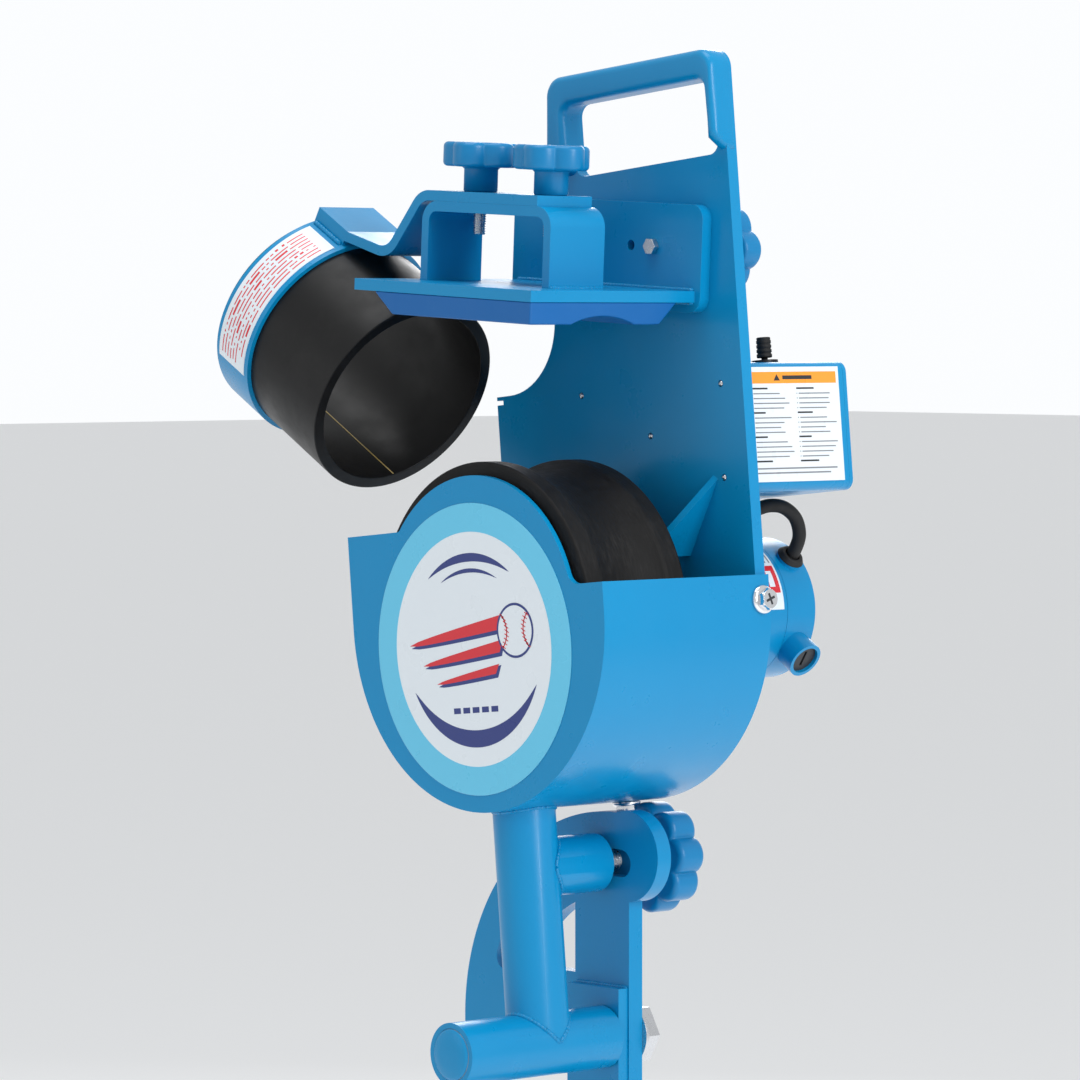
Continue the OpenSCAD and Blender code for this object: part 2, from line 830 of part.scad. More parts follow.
module control_board() {
    color([0.1, 0.35, 0.2]) head_place() {
        box([box_x0 + 16, 128, box_z0 + 12], [box_x1 - 22, 129.6, box_z1 - 12]);
        // Standoffs, capacitor, heat sink and the dial's potentiometer
        for (x = [box_x0 + 22, box_x1 - 28]) for (z = [box_z0 + 18, box_z1 - 18])
            translate([x, 0, z]) rod_y(3, plate_y1 + box_wall, 128);
        translate([box_x0 + 34, 0, box_z0 + 28]) rod_y(9, 129.6, 160);
        box([box_x1 - 40, 129.6, box_z0 + 18], [box_x1 - 26, 152, box_z1 - 40]);
        translate([dial_at[0], 0, dial_at[1]]) {
            rod_y(8.5, 182, box_y1);
            rod_y(4.1, box_y1 - 1, box_y1 + cover_t + 7);
        }
    }
}

module cover_screws() {
    color(steel) head_place() cover_screw_spots() {
        rod_y(1.9, box_y1 - 14, box_y1 + cover_t);
        difference() {
            rod_y(3.8, box_y1 + cover_t, box_y1 + cover_t + 2.2);
            box([-0.5, box_y1 + cover_t + 1.2, -2.6], [0.5, box_y1 + cover_t + 3, 2.6]);
            box([-2.6, box_y1 + cover_t + 1.2, -0.5], [2.6, box_y1 + cover_t + 3, 0.5]);
        }
    }
}

module mains_gland() {
    out = box_y1 + cover_t;
    color(black) head_place() translate([gland_at[0], 0, gland_at[1]]) difference() {
        union() {
            rod_y(6.9, box_y1 - 6, out + 4);
            translate([0, out + 5, 0]) rotate([90, 0, 0]) hex_head(19, 5);
            rod_y(9, out + 5, out + 13);
            rotate([-90, 0, 0]) translate([0, 0, out + 13]) cylinder(r1 = 9, r2 = 6.5, h = 5);
            translate([0, box_y1, 0]) rotate([90, 0, 0]) hex_head(19, 4);
        }
        rod_y(gland_bore_r, box_y1 - 7, out + 20);
    }
}

module control_decal() {
    color(white) head_place()
        box([box_x1, plate_y1 + 4, box_z0 + 5], [box_x1 + decal_t, box_y1 - 4, box_z1 - 3]);
}

module speed_dial() {
    out = box_y1 + cover_t;
    color(black) head_place() translate([dial_at[0], out + 0.4, dial_at[1]]) rotate([-90, 0, 0])
        difference() {
            union() {
                cylinder(r = 15, h = 3);
                translate([0, 0, 3]) cylinder(r1 = 12, r2 = 11, h = 12);
                translate([-1.5, 0, 3]) cube([3, 14, 1]);
            }
            translate([0, 0, -1]) cylinder(r = 4.18, h = 10);
            for (a = [0:30:330]) rotate(a + 15) translate([12.6, 0, 4]) cylinder(r = 1.4, h = 20);
        }
}

module toggle_bush() {
    color([0.12, 0.12, 0.12]) head_place() translate([toggle_at[0], toggle_at[1], 0]) difference() {
        union() {
            translate([0, 0, box_z1]) cylinder(r = 7, h = 2);
            translate([0, 0, box_z1 - box_wall]) cylinder(r = 3.75, h = box_wall);
            box([-4, -8, box_z1 - box_wall - 18], [4, 8, box_z1 - box_wall]);
        }
        translate([0, 0, box_z1 - 5]) cylinder(r = 2.6, h = 5);
        translate([0, 0, box_z1 - 1]) cylinder(r1 = 2.6, r2 = 5, h = 3.5);
    }
}

module power_toggle() {
    color(black) head_place() translate([toggle_at[0], toggle_at[1], box_z1]) {
        translate([0, 0, -1]) sphere(r = 2.55);
        translate([0, 0, -1]) cylinder(r = 1.7, h = 4.5);
        translate([0, 0, 3.3]) cylinder(r1 = 4.1, r2 = 3.3, h = 7.6);
        translate([0, 0, 10.9]) sphere(r = 3.3);
    }
}

// ---- Post and tilt lock ----

module post_frame() {
    inner = tube_r - tube_wall;
    color(blue) head_place() difference() {
        union() {
            translate([0, post_y, -pivot_drop]) cylinder(r = tube_r, h = pivot_drop - 60);
            translate([0, 0, lock_z]) rod_y(tube_r - 1, post_y, stub_end);
            translate([0, 0, -pivot_drop]) rod_y(tube_r, pivot_tube_y0, pivot_tube_y1);
        }
        rod_y(housing_r, -1, housing_depth + 1);
        translate([0, post_y, -pivot_drop + tube_r + 2]) cylinder(r = inner, h = pivot_drop - 60);
        translate([0, 0, lock_z]) rod_y(tilt_bolt_r, stub_end - 30, stub_end + 1);
        translate([0, 0, -pivot_drop]) rod_y(inner, pivot_tube_y0 - 1, pivot_tube_y1 + 1);
    }
}

module pivot_bushes() {
    color([0.7, 0.55, 0.3]) head_place() translate([0, 0, -pivot_drop]) {
        for (y = [-18, pivot_tube_y1 - 20]) ring_y(tube_r - tube_wall, pivot_shaft_r + run_gap, y, y + 20);
        rod_y(tube_r - tube_wall, pivot_tube_y0, pivot_tube_y0 + 3);
    }
}

module tilt_bolt() {
    color(steel) head_place() translate([0, 0, lock_z]) {
        rod_y(tilt_bolt_r, stub_end - 30, tilt_knob_y + 10);
        ring_y(13, tilt_bolt_r, stub_end, stub_end + 1.6);
        translate([0, stub_end + 4.2, 0]) rotate([90, 0, 0]) difference() {
            hex_head(19, 2.6);
            translate([0, 0, -1]) cylinder(r = tilt_bolt_r, h = 8);
        }
    }
}

module tilt_knob() {
    color(blue) head_place() translate([0, -head_y + quadrant_y1 + 0.4, lock_z]) rotate([-90, 0, 0])
        difference() {
            union() {
                cylinder(r = 13, h = 22);
                translate([0, 0, 21]) lobed_head(23, 6.5, 8, 29.3, 18);
            }
            translate([0, 0, -1]) cylinder(r = tilt_bolt_r + 0.06, h = 34);
        }
}

// ---- Swivel ----

// Pie slice between two angles, big enough to cut an arc out of a ring
module slice(from, to, r) {
    mid = (from + to) / 2;
    polygon([[0, 0], for (a = [from, (from + mid) / 2, mid, (mid + to) / 2, to]) 1.3 * r * [cos(a), sin(a)]]);
}

// Curved slot of half-width w, from one angle to another
module arc_slot(r, w, from, to) {
    intersection() {
        difference() {
            circle(r + w);
            circle(r - w);
        }
        slice(from, to, r + w);
    }
    for (a = [from, to]) translate(r * [cos(a), sin(a)]) circle(w - 0.1);
}

module quadrant_plate() {
    rest_a = 90 + head_tilt;
    edge_x = -swivel_half - pivot_x;
    color(blue) stand_place() translate([pivot_x, 0, pivot_height]) difference() {
        union() {
            along_y(quadrant_y0, quadrant_y1) difference() {
                union() {
                    intersection() {
                        circle(quadrant_r);
                        polygon([
                            [0, 0], 200 * [cos(end_a), sin(end_a)], [-200, 200], [-200, -22], [0, -22]
                        ]);
                    }
                    translate(96 * [cos(end_a), sin(end_a)]) circle(24);
                    translate([edge_x, -48]) square([2 * swivel_half, 140]);
                }
                arc_slot(lock_r, slot_half, rest_a - tilt_forward - 0.5, rest_a + tilt_back + 0.5);
                // Window between the arc and the hub
                difference() {
                    circle(band_inner_r);
                    translate([-200, -200]) square([400, 231]);
                    translate([edge_x, 0]) square([200, 200]);
                }
            }
            box([edge_x + 1, doubler_y0, -47], [edge_x + 2 * swivel_half - 1, quadrant_y0 + 1, 26]);
        }
        rod_y(pivot_shaft_r + 0.02, -40, 40);
    }
}

module swivel_stem() {
    color(blue) stand_place() {
        translate([0, 0, flange_top - swivel_flange_t]) cylinder(r = flange_r, h = swivel_flange_t);
        translate([0, 0, stem_bottom]) cylinder(r = stem_r, h = flange_top - stem_bottom - 1);
    }
}

module pivot_shaft() {
    head_end = quadrant_y1;
    nut_y = head_y - 18 - 2.5;
    color(steel) stand_place() translate([pivot_x, 0, pivot_height]) {
        rod_y(pivot_shaft_r, nut_y - 11, head_end);
        translate([0, head_end + 10, 0]) rotate([90, 0, 0]) hex_head(28, 8);
        rod_y(16.5, head_end, head_end + 2);
        difference() {
            union() {
                rod_y(12.6, nut_y, nut_y + 2);
                translate([0, nut_y, 0]) rotate([90, 0, 0]) hex_head(21.5, 9);
            }
            rod_y(pivot_shaft_r, nut_y - 20, nut_y + 10);
        }
    }
}

// ---- Column and tripod ----

module column_tube() {
    color(blue) stand_place() difference() {
        union() {
            translate([0, 0, column_bottom]) cylinder(r = column_r, h = column_top - column_bottom);
            translate([0, 0, column_top - 46]) cylinder(r = 28, h = 46);
            // Boss for the swivel lock
            translate([0, 0, column_top - 24]) radial(180) translate([0, 0, 20]) cylinder(r = 11, h = 20);
            translate([0, 0, column_top]) cylinder(r = flange_r, h = washer_t - 0.1);
        }
        translate([0, 0, column_bottom - 1]) cylinder(r = column_bore_r, h = column_top - column_bottom + 10);
        translate([0, 0, column_top - 24]) radial(180) translate([0, 0, 10]) cylinder(r = 5.06, h = 40);
    }
}

module pan_knob() {
    color(blue) stand_place() translate([0, 0, column_top - 24]) radial(180) {
        translate([0, 0, 19.2]) cylinder(r = 5, h = 30);
        translate([0, 0, 40.5]) cylinder(r = 10, h = 8);
        translate([0, 0, 48]) lobed_head(16, 8, 5, 22, 14);
    }
}

module tripod_hub() {
    ear = leg_r + lug_gap;
    stop_out = leg_r + gap + stop_r;
    color(blue) stand_place() difference() {
        union() {
            translate([0, 0, leg_hinge_height - hub_half]) cylinder(r = hub_r, h = 2 * hub_half);
            for (a = leg_turns) rotate(a) for (y = [-ear - lug_t, ear])
                along_y(y, y + lug_t) {
                    soft_rect([20, leg_hinge_height - 17], [leg_hinge_r + 17, leg_hinge_height + 19], 5);
                    translate([leg_hinge_r, leg_hinge_height]) circle(17);
                }
            // Bars that the open legs rest against
            for (a = leg_turns) rotate(a) translate([leg_hinge_r, 0, leg_hinge_height])
                rotate([0, leg_angle, 0]) translate([0, 0, stop_out]) rod_y(stop_r, -ear - 1, ear + 1);
        }
        translate([0, 0, leg_hinge_height - 50]) cylinder(r = column_r, h = 100);
        for (a = leg_turns) rotate(a) translate([leg_hinge_r, 0, leg_hinge_height])
            rod_y(hinge_bolt_r + 0.05, -40, 40);
    }
}

module hub_bolts() {
    ear = leg_r + lug_gap + lug_t;
    color(steel) stand_place() for (a = leg_turns) rotate(a) translate([leg_hinge_r, 0, leg_hinge_height]) {
        rod_y(hinge_bolt_r, -ear - 10, ear);
        translate([0, ear + 6.5, 0]) rotate([90, 0, 0]) hex_head(16, 6.5);
        difference() {
            translate([0, -ear, 0]) rotate([90, 0, 0]) hex_head(16, 8);
            rod_y(hinge_bolt_r, -ear - 11, -ear + 1);
        }
    }
}

// Places along a leg: local Z runs from the hinge towards the foot
module leg_place(turn) {
    stand_place() rotate(turn) translate([leg_hinge_r, 0, leg_hinge_height])
        rotate([0, 90 + leg_angle, 0]) children();
}

module leg(turn) {
    color(blue) leg_place(turn) difference() {
        union() {
            cylinder(r = leg_r, h = leg_length);
            intersection() {
                translate([0, 0, -leg_r]) cylinder(r = leg_r, h = leg_r + 10);
                rod_y(leg_r, -30, 30);
            }
        }
        translate([0, 0, 24]) cylinder(r = leg_r - leg_wall, h = leg_length - 20);
        rod_y(hinge_bolt_r + 0.08, -30, 30);
    }
}

module leg_rear() {
    leg(leg_turns[0]);
}

module leg_left() {
    leg(leg_turns[1]);
}

module leg_right() {
    leg(leg_turns[2]);
}

module foot(turn) {
    difference() {
        stand_place() rotate(turn) translate([leg_reach, 0, 0]) {
            cylinder(r1 = foot_r - 1.5, r2 = foot_r, h = 1.5);
            translate([0, 0, 1.5]) cylinder(r = foot_r, h = 9);
            translate([0, 0, 10.5]) cylinder(r1 = foot_r, r2 = 19, h = 22);
        }
        leg_place(turn) cylinder(r = leg_r, h = leg_length);
    }
}

module foot_rear() {
    color(black) foot(leg_turns[0]);
}

module foot_left() {
    color(black) foot(leg_turns[1]);
}

module foot_right() {
    color(black) foot(leg_turns[2]);
}

main_plate();
handle_grip();
wheel_housing();
housing_bolts();
front_decal();
shoe_bracket();
shoe_block();
bracket_screws();
shoe_stud();
chute_bracket();
chute_arm();
chute_tube();
chute_decal();
chute_knob_front();
chute_knob_rear();
chute_stud_front();
chute_stud_rear();
shoe_knob();
wheel_tyre();
wheel_core();
wheel_nut();
motor_shaft();
armature();
motor_front_cap();
motor_can();
motor_rear_cap();
motor_magnets();
motor_bearings();
motor_brushes();
brush_caps();
motor_screws();
motor_decal();
motor_lead();
lead_grommets();
control_box();
control_cover();
control_board();
cover_screws();
mains_gland();
control_decal();
speed_dial();
power_toggle();
toggle_bush();
post_frame();
pivot_bushes();
tilt_bolt();
tilt_knob();
quadrant_plate();
swivel_stem();
pivot_shaft();
column_tube();
tripod_hub();
hub_bolts();
pan_knob();
leg_rear();
leg_left();
leg_right();
foot_rear();
foot_left();
foot_right();
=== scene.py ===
"""Looks of the single-wheel ball pitching machine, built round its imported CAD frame."""

import json
import math
import random

import bmesh
import bpy
from mathutils import Matrix, Vector


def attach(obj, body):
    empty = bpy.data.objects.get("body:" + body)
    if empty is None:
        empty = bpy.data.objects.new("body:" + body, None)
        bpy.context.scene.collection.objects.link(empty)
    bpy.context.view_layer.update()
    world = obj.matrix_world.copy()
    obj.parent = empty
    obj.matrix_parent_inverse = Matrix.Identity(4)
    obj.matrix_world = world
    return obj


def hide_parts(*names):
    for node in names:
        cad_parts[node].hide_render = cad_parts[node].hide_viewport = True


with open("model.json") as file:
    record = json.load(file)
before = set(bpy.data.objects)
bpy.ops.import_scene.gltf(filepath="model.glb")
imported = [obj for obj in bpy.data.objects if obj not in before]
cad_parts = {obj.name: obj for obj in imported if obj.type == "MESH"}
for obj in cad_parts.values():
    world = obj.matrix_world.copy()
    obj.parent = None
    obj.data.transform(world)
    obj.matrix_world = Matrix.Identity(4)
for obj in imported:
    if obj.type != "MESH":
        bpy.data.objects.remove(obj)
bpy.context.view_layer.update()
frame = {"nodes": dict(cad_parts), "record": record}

MM = 0.001
BODY_OF = {n: b for b, ns in frame["record"]["behaviour"]["bodies"].items() for n in ns}
SLOT_OF = {s["node"]: s["material_slot"] for s in frame["record"]["subparts"]}


def turn(degrees, axis):
    return Matrix.Rotation(math.radians(degrees), 4, axis)


def move(x, y, z):
    return Matrix.Translation((x * MM, y * MM, z * MM))


STAND = move(112.5, 0, 0)
HEAD = move(120.5, -78, 660) @ turn(-5.6, "Y") @ move(0, 0, 221)
SHOE = HEAD @ move(2, 0, 169.5) @ turn(8.5, "Y")
CHUTE = HEAD @ move(-94.3, 41, 124.8) @ turn(35.5 - 90, "Y")


# ---- Materials ----

def srgb(r, g, b):
    """Linear colour of an sRGB one with channels from 0 to 255."""
    def one(v):
        v /= 255
        return v / 12.92 if v <= 0.04045 else ((v + 0.055) / 1.055) ** 2.4
    return (one(r), one(g), one(b), 1.0)


class Nodes:
    """A material under construction: short names for the nodes used here."""

    def __init__(self, name, base, rough, metallic=0.0, coat=0.0, coat_rough=0.1, specular=0.5):
        self.material = bpy.data.materials.new(name)
        self.material.use_nodes = True
        self.tree = self.material.node_tree
        self.shader = self.tree.nodes["Principled BSDF"]
        self.shader.inputs["Base Color"].default_value = base
        self.shader.inputs["Roughness"].default_value = rough
        self.shader.inputs["Metallic"].default_value = metallic
        self.shader.inputs["Coat Weight"].default_value = coat
        self.shader.inputs["Coat Roughness"].default_value = coat_rough
        self.shader.inputs["Specular IOR Level"].default_value = specular
        self.coords = self.add("ShaderNodeTexCoord").outputs["Object"]
        self.material.diffuse_color = base

    def add(self, kind, **settings):
        node = self.tree.nodes.new(kind)
        for key, value in settings.items():
            setattr(node, key, value)
        return node

    def link(self, a, b):
        self.tree.links.new(a, b)

    def mapped(self, scale=(1, 1, 1), rotation=(0, 0, 0), location=(0, 0, 0)):
        node = self.add("ShaderNodeMapping")
        node.inputs["Scale"].default_value = scale
        node.inputs["Rotation"].default_value = rotation
        node.inputs["Location"].default_value = location
        self.link(self.coords, node.inputs["Vector"])
        return node.outputs["Vector"]

    def noise(self, scale, detail=3.0, rough=0.5, vector=None):
        node = self.add("ShaderNodeTexNoise")
        node.inputs["Scale"].default_value = scale
        node.inputs["Detail"].default_value = detail
        node.inputs["Roughness"].default_value = rough
        self.link(vector or self.coords, node.inputs["Vector"])
        return node.outputs["Fac"]

    def spread(self, value, low, high, to_low, to_high):
        node = self.add("ShaderNodeMapRange")
        for key, number in zip(("From Min", "From Max", "To Min", "To Max"), (low, high, to_low, to_high)):
            node.inputs[key].default_value = number
        self.link(value, node.inputs["Value"])
        return node.outputs["Result"]

    def maths(self, operation, a, b):
        node = self.add("ShaderNodeMath", operation=operation)
        for i, v in enumerate((a, b)):
            if isinstance(v, (int, float)):
                node.inputs[i].default_value = v
            else:
                self.link(v, node.inputs[i])
        return node.outputs[0]

    def mix(self, factor, a, b):
        node = self.add("ShaderNodeMix", data_type="RGBA")
        self.link(factor, node.inputs[0])
        for i, v in ((6, a), (7, b)):
            if isinstance(v, tuple):
                node.inputs[i].default_value = v
            else:
                self.link(v, node.inputs[i])
        return node.outputs[2]

    def bump(self, height, strength, distance, under=None):
        node = self.add("ShaderNodeBump")
        node.inputs["Strength"].default_value = strength
        node.inputs["Distance"].default_value = distance
        self.link(height, node.inputs["Height"])
        if under is not None:
            self.link(under, node.inputs["Normal"])
        return node.outputs["Normal"]

    def put(self, socket, value):
        self.link(value, self.shader.inputs[socket])


def painted(name, base, deep, rough=0.3, peel=0.22):
    """Powder coat: orange peel, a little unevenness in tone and gloss, and rare tiny pits."""
    m = Nodes(name, base, rough, coat=0.1, coat_rough=0.12, specular=0.3)
    tone = m.spread(m.noise(9, 3), 0.3, 0.7, 0.0, 0.28)
    m.put("Base Color", m.mix(tone, base, deep))
    m.put("Roughness", m.spread(m.noise(34, 4, 0.6), 0.3, 0.7, rough - 0.05, rough + 0.07))
    fine = m.bump(m.noise(620, 2), peel, 0.00012)
    pits = m.spread(m.noise(210, 1), 0.74, 0.8, 1.0, 0.0)
    m.put("Normal", m.bump(pits, 0.15, 0.0002, fine))
    return m.material


def plastic(name, base, rough, grain=520, depth=0.16, scuff=0.0, pale=(0.2, 0.2, 0.2, 1), coat=0.0):
    """Moulded plastic or rubber: a fine grain, uneven gloss and, where asked, paler scuffs."""
    m = Nodes(name, base, rough, coat=coat, specular=0.35)
    if scuff:
        wear = m.spread(m.noise(55, 8, 0.72), 0.56, 0.76, 0.0, scuff)
        m.put("Base Color", m.mix(wear, base, pale))
    m.put("Roughness", m.spread(m.noise(70, 5), 0.3, 0.7, rough - 0.07, rough + 0.08))
    m.put("Normal", m.bump(m.noise(grain, 2), depth, 0.00015))
    return m.material


def metal(name, base, rough, along=(1, 1, 1), depth=0.08):
    """Plated or turned metal: fine streaks across the direction with the large scale."""
    m = Nodes(name, base, rough, metallic=1.0)
    streak = m.noise(260, 4, 0.6, m.mapped(scale=along))
    m.put("Roughness", m.spread(streak, 0.3, 0.7, max(rough - 0.08, 0.03), rough + 0.1))
    m.put("Normal", m.bump(streak, depth, 0.00005))
    return m.material


def tread_material():
    """Black rubber with scuffs that run round the wheel, paler in the hollow of the tread."""
    m = Nodes("tread_rubber", srgb(12, 12, 13), 0.6, specular=0.22)
    centre = HEAD @ Vector((0, 0, 0))
    local = m.mapped(location=(-centre.x, 0, -centre.z))
    parts = m.add("ShaderNodeSeparateXYZ")
    m.link(local, parts.inputs[0])
    angle = m.maths("ARCTAN2", parts.outputs["Z"], parts.outputs["X"])
    square = m.maths("ADD", m.maths("MULTIPLY", parts.outputs["X"], parts.outputs["X"]),
                     m.maths("MULTIPLY", parts.outputs["Z"], parts.outputs["Z"]))
    radius = m.maths("SQRT", square, 0)
    ring = m.add("ShaderNodeCombineXYZ")
    m.link(m.maths("MULTIPLY", angle, 0.012), ring.inputs["X"])
    m.link(parts.outputs["Y"], ring.inputs["Y"])
    m.link(radius, ring.inputs["Z"])
    streaks = m.noise(900, 5, 0.62, ring.outputs[0])
    patchy = m.spread(m.noise(26, 5, 0.6), 0.4, 0.65, 0.1, 1)
    dust = m.maths("MULTIPLY", m.spread(streaks, 0.42, 0.72, 0.0, 0.34), patchy)
    tread = m.spread(radius, 0.070, 0.0745, 0.0, 1.0)
    m.put("Base Color", m.mix(m.maths("MULTIPLY", dust, tread), srgb(12, 12, 13), srgb(72, 71, 71)))
    m.put("Roughness", m.spread(streaks, 0.3, 0.7, 0.5, 0.78))
    m.put("Normal", m.bump(streaks, 0.35, 0.0003, m.bump(m.noise(1500, 2), 0.25, 0.0001)))
    return m.material


def chute_material():
    """Satin black pipe: extrusion lines along it, and rub marks where balls have rolled."""
    m = Nodes("chute_plastic", srgb(9, 9, 10), 0.42, specular=0.28)
    axis = CHUTE.to_3x3().inverted().to_euler("XYZ")
    along = m.mapped(scale=(1, 1, 1), rotation=tuple(axis))
    lines = m.add("ShaderNodeMapping")
    lines.inputs["Scale"].default_value = (1, 1, 0.03)
    m.link(along, lines.inputs["Vector"])
    drawn = m.noise(240, 3, 0.5, lines.outputs["Vector"])
    rub = m.spread(m.noise(24, 7, 0.7, along), 0.5, 0.72, 0.0, 0.16)
    m.put("Base Color", m.mix(rub, srgb(8, 8, 9), srgb(50, 48, 48)))
    m.put("Roughness", m.spread(m.noise(40, 6, 0.65), 0.3, 0.7, 0.34, 0.52))
    m.put("Normal", m.bump(drawn, 0.12, 0.0002))
    return m.material


def printed(name, base, rough=0.3):
    """Ink or foil of a printed label."""
    m = Nodes(name, base, rough, coat=0.25, coat_rough=0.2)
    m.put("Roughness", m.spread(m.noise(60, 3), 0.3, 0.7, rough - 0.05, rough + 0.08))
    m.put("Normal", m.bump(m.noise(300, 2), 0.05, 0.0001))
    return m.material


BLUE = painted("blue_paint", srgb(0, 133, 186), srgb(0, 118, 172))
WELD = painted("weld_paint", srgb(0, 130, 183), srgb(0, 116, 170), rough=0.28, peel=0.3)
KNOB = plastic("knob_plastic", srgb(0, 118, 172), 0.36, grain=420, depth=0.2, coat=0.08)
SHOE_BLUE = plastic("shoe_plastic", srgb(0, 92, 160), 0.44, grain=300, depth=0.12, scuff=0.12,
                    pale=srgb(50, 115, 170))
ZINC = metal("zinc_steel", (0.62, 0.63, 0.65, 1), 0.28)
CHROME = metal("chrome_steel", (0.78, 0.79, 0.81, 1), 0.12)
ALLOY = metal("wheel_alloy", (0.66, 0.66, 0.68, 1), 0.3)
TREAD = tread_material()
CHUTE_BLACK = chute_material()
BLACK = plastic("black_plastic", srgb(24, 24, 26), 0.42, scuff=0.12)
RUBBER = plastic("black_rubber", srgb(23, 23, 24), 0.62, grain=380, depth=0.3, scuff=0.14,
                 pale=srgb(82, 80, 78))
CAP_GREY = plastic("brush_cap", srgb(44, 46, 50), 0.45, scuff=0.15)
COPPER = metal("copper", (0.6, 0.28, 0.13, 1), 0.35)
BRONZE = metal("bronze", (0.5, 0.34, 0.17, 1), 0.4)
MAGNET = plastic("magnet", srgb(60, 60, 63), 0.6)
CARBON = plastic("carbon", srgb(40, 40, 42), 0.5)
BOARD = plastic("circuit_board", srgb(20, 84, 46), 0.4)
WHITE = printed("label_white", srgb(218, 226, 232))
SKY = printed("label_sky", srgb(92, 190, 224))
NAVY = printed("label_navy", srgb(27, 47, 118))
RED = printed("label_red", srgb(206, 28, 44))
ORANGE = printed("label_orange", srgb(240, 150, 42))
INK = printed("label_ink", srgb(120, 124, 130))
GOLD = printed("parting_line", srgb(172, 150, 86), rough=0.45)

LOOK_OF_SLOT = {
    "blue_paint": BLUE, "knob_plastic": KNOB, "shoe_plastic": SHOE_BLUE, "zinc_steel": ZINC,
    "chrome_steel": CHROME, "tread_rubber": TREAD, "wheel_alloy": ALLOY, "black_plastic": BLACK,
    "black_rubber": RUBBER, "label": WHITE, "copper": COPPER, "magnet": MAGNET, "carbon": CARBON,
    "circuit_board": BOARD, "bronze": BRONZE,
}


# ---- Building pieces ----

def piece(name, mesh, body, material, replaces=(), smooth=True):
    """Puts a mesh in the scene, riding a body and standing for the CAD nodes it replaces."""
    obj = bpy.data.objects.new(name, mesh)
    bpy.context.scene.collection.objects.link(obj)
    mesh.materials.clear()
    mesh.materials.append(material)
    mesh.polygons.foreach_set("use_smooth", [smooth] * len(mesh.polygons))
    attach(obj, body)
    if replaces:
        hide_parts(*replaces)
    return obj


def built(name, verts, faces, place=Matrix.Identity(4), merge=0.0):
    """Mesh from points in mm in a place's own frame, with its faces turned outward."""
    mesh = bpy.data.meshes.new(name)
    mesh.from_pydata([place @ (Vector(v) * MM) for v in verts], [], faces)
    bm = bmesh.new()
    bm.from_mesh(mesh)
    if merge:
        bmesh.ops.remove_doubles(bm, verts=bm.verts, dist=merge * MM)
    bmesh.ops.recalc_face_normals(bm, faces=bm.faces)
    bm.to_mesh(mesh)
    bm.free()
    return mesh


def bevelled(obj, width, segments=3, angle=32):
    """Rounds the edges sharper than an angle, by a width in mm."""
    b = obj.modifiers.new("edges", "BEVEL")
    b.width = width * MM
    b.segments = segments
    b.limit_method = "ANGLE"
    b.angle_limit = math.radians(angle)
    b.miter_outer = "MITER_ARC"
    b.harden_normals = True
    return obj


def soften(node, width, material=None, segments=3, angle=32):
    """Shows a CAD node as a copy of its mesh with rounded edges."""
    mesh = frame["nodes"][node].data.copy()
    mesh.name = node + "_rounded"
    bm = bmesh.new()
    bm.from_mesh(mesh)
    bmesh.ops.remove_doubles(bm, verts=bm.verts, dist=2e-6)
    bmesh.ops.dissolve_limit(bm, angle_limit=math.radians(0.2), verts=bm.verts, edges=bm.edges)
    bm.to_mesh(mesh)
    bm.free()
    for name in [a.name for a in mesh.attributes if a.name in ("custom_normal", "sharp_edge", "sharp_face")]:
        mesh.attributes.remove(mesh.attributes[name])
    slot = SLOT_OF[node]
    obj = piece(node + "_rounded", mesh, BODY_OF[node], material or LOOK_OF_SLOT[slot], (node,))
    return bevelled(obj, width, segments, angle)


def loft(rings, closed=True, caps=True):
    """Faces of a surface through rings with the same number of points."""
    n = len(rings[0])
    faces = []
    for i in range(len(rings) - 1):
        for k in range(n if closed else n - 1):
            q = (k + 1) % n
            faces.append((i * n + k, i * n + q, (i + 1) * n + q, (i + 1) * n + k))
    if caps:
        faces.append(tuple(range(n - 1, -1, -1)))
        faces.append(tuple((len(rings) - 1) * n + k for k in range(n)))
    return faces


def turned(name, profile, body, material, place, n=64, replaces=()):
    """A body of revolution round the place's Z; profile is (radius, z) in mm from end to end."""
    verts, faces, rows = [], [], []
    for r, z in profile:
        if r < 1e-6:
            rows.append([len(verts)])
            verts.append((0, 0, z))
        else:
            rows.append(list(range(len(verts), len(verts) + n)))
            turns = [2 * math.pi * k / n for k in range(n)]
            verts += [(r * math.cos(a), r * math.sin(a), z) for a in turns]
    for a, b in zip(rows, rows[1:]):
        for k in range(n):
            q = (k + 1) % n
            if len(a) == 1:
                faces.append((a[0], b[q], b[k]))
            elif len(b) == 1:
                faces.append((a[k], a[q], b[0]))
            else:
                faces.append((a[k], a[q], b[q], b[k]))
    for row in (rows[0], rows[-1]):
        if len(row) > 1:
            faces.append(tuple(row))
    return piece(name, built(name, verts, faces, place), body, material, replaces)


def arc(cx, cz, r, a0, a1, steps=6):
    """Points of an arc in a profile, angles in degrees."""
    return [(cx + r * math.cos(math.radians(a0 + (a1 - a0) * i / steps)),
             cz + r * math.sin(math.radians(a0 + (a1 - a0) * i / steps))) for i in range(steps + 1)]


def smooth_path(points, steps):
    """Catmull-Rom curve through points."""
    p = [Vector(q) for q in points]
    out = []
    for i in range(len(p) - 1):
        a, b, c, d = p[max(i - 1, 0)], p[i], p[i + 1], p[min(i + 2, len(p) - 1)]
        for k in range(steps):
            t = k / steps
            out.append(b + 0.5 * t * ((c - a) + t * (2 * a - 5 * b + 4 * c - d + t * (3 * (b - c) + d - a))))
    return out + [p[-1]]


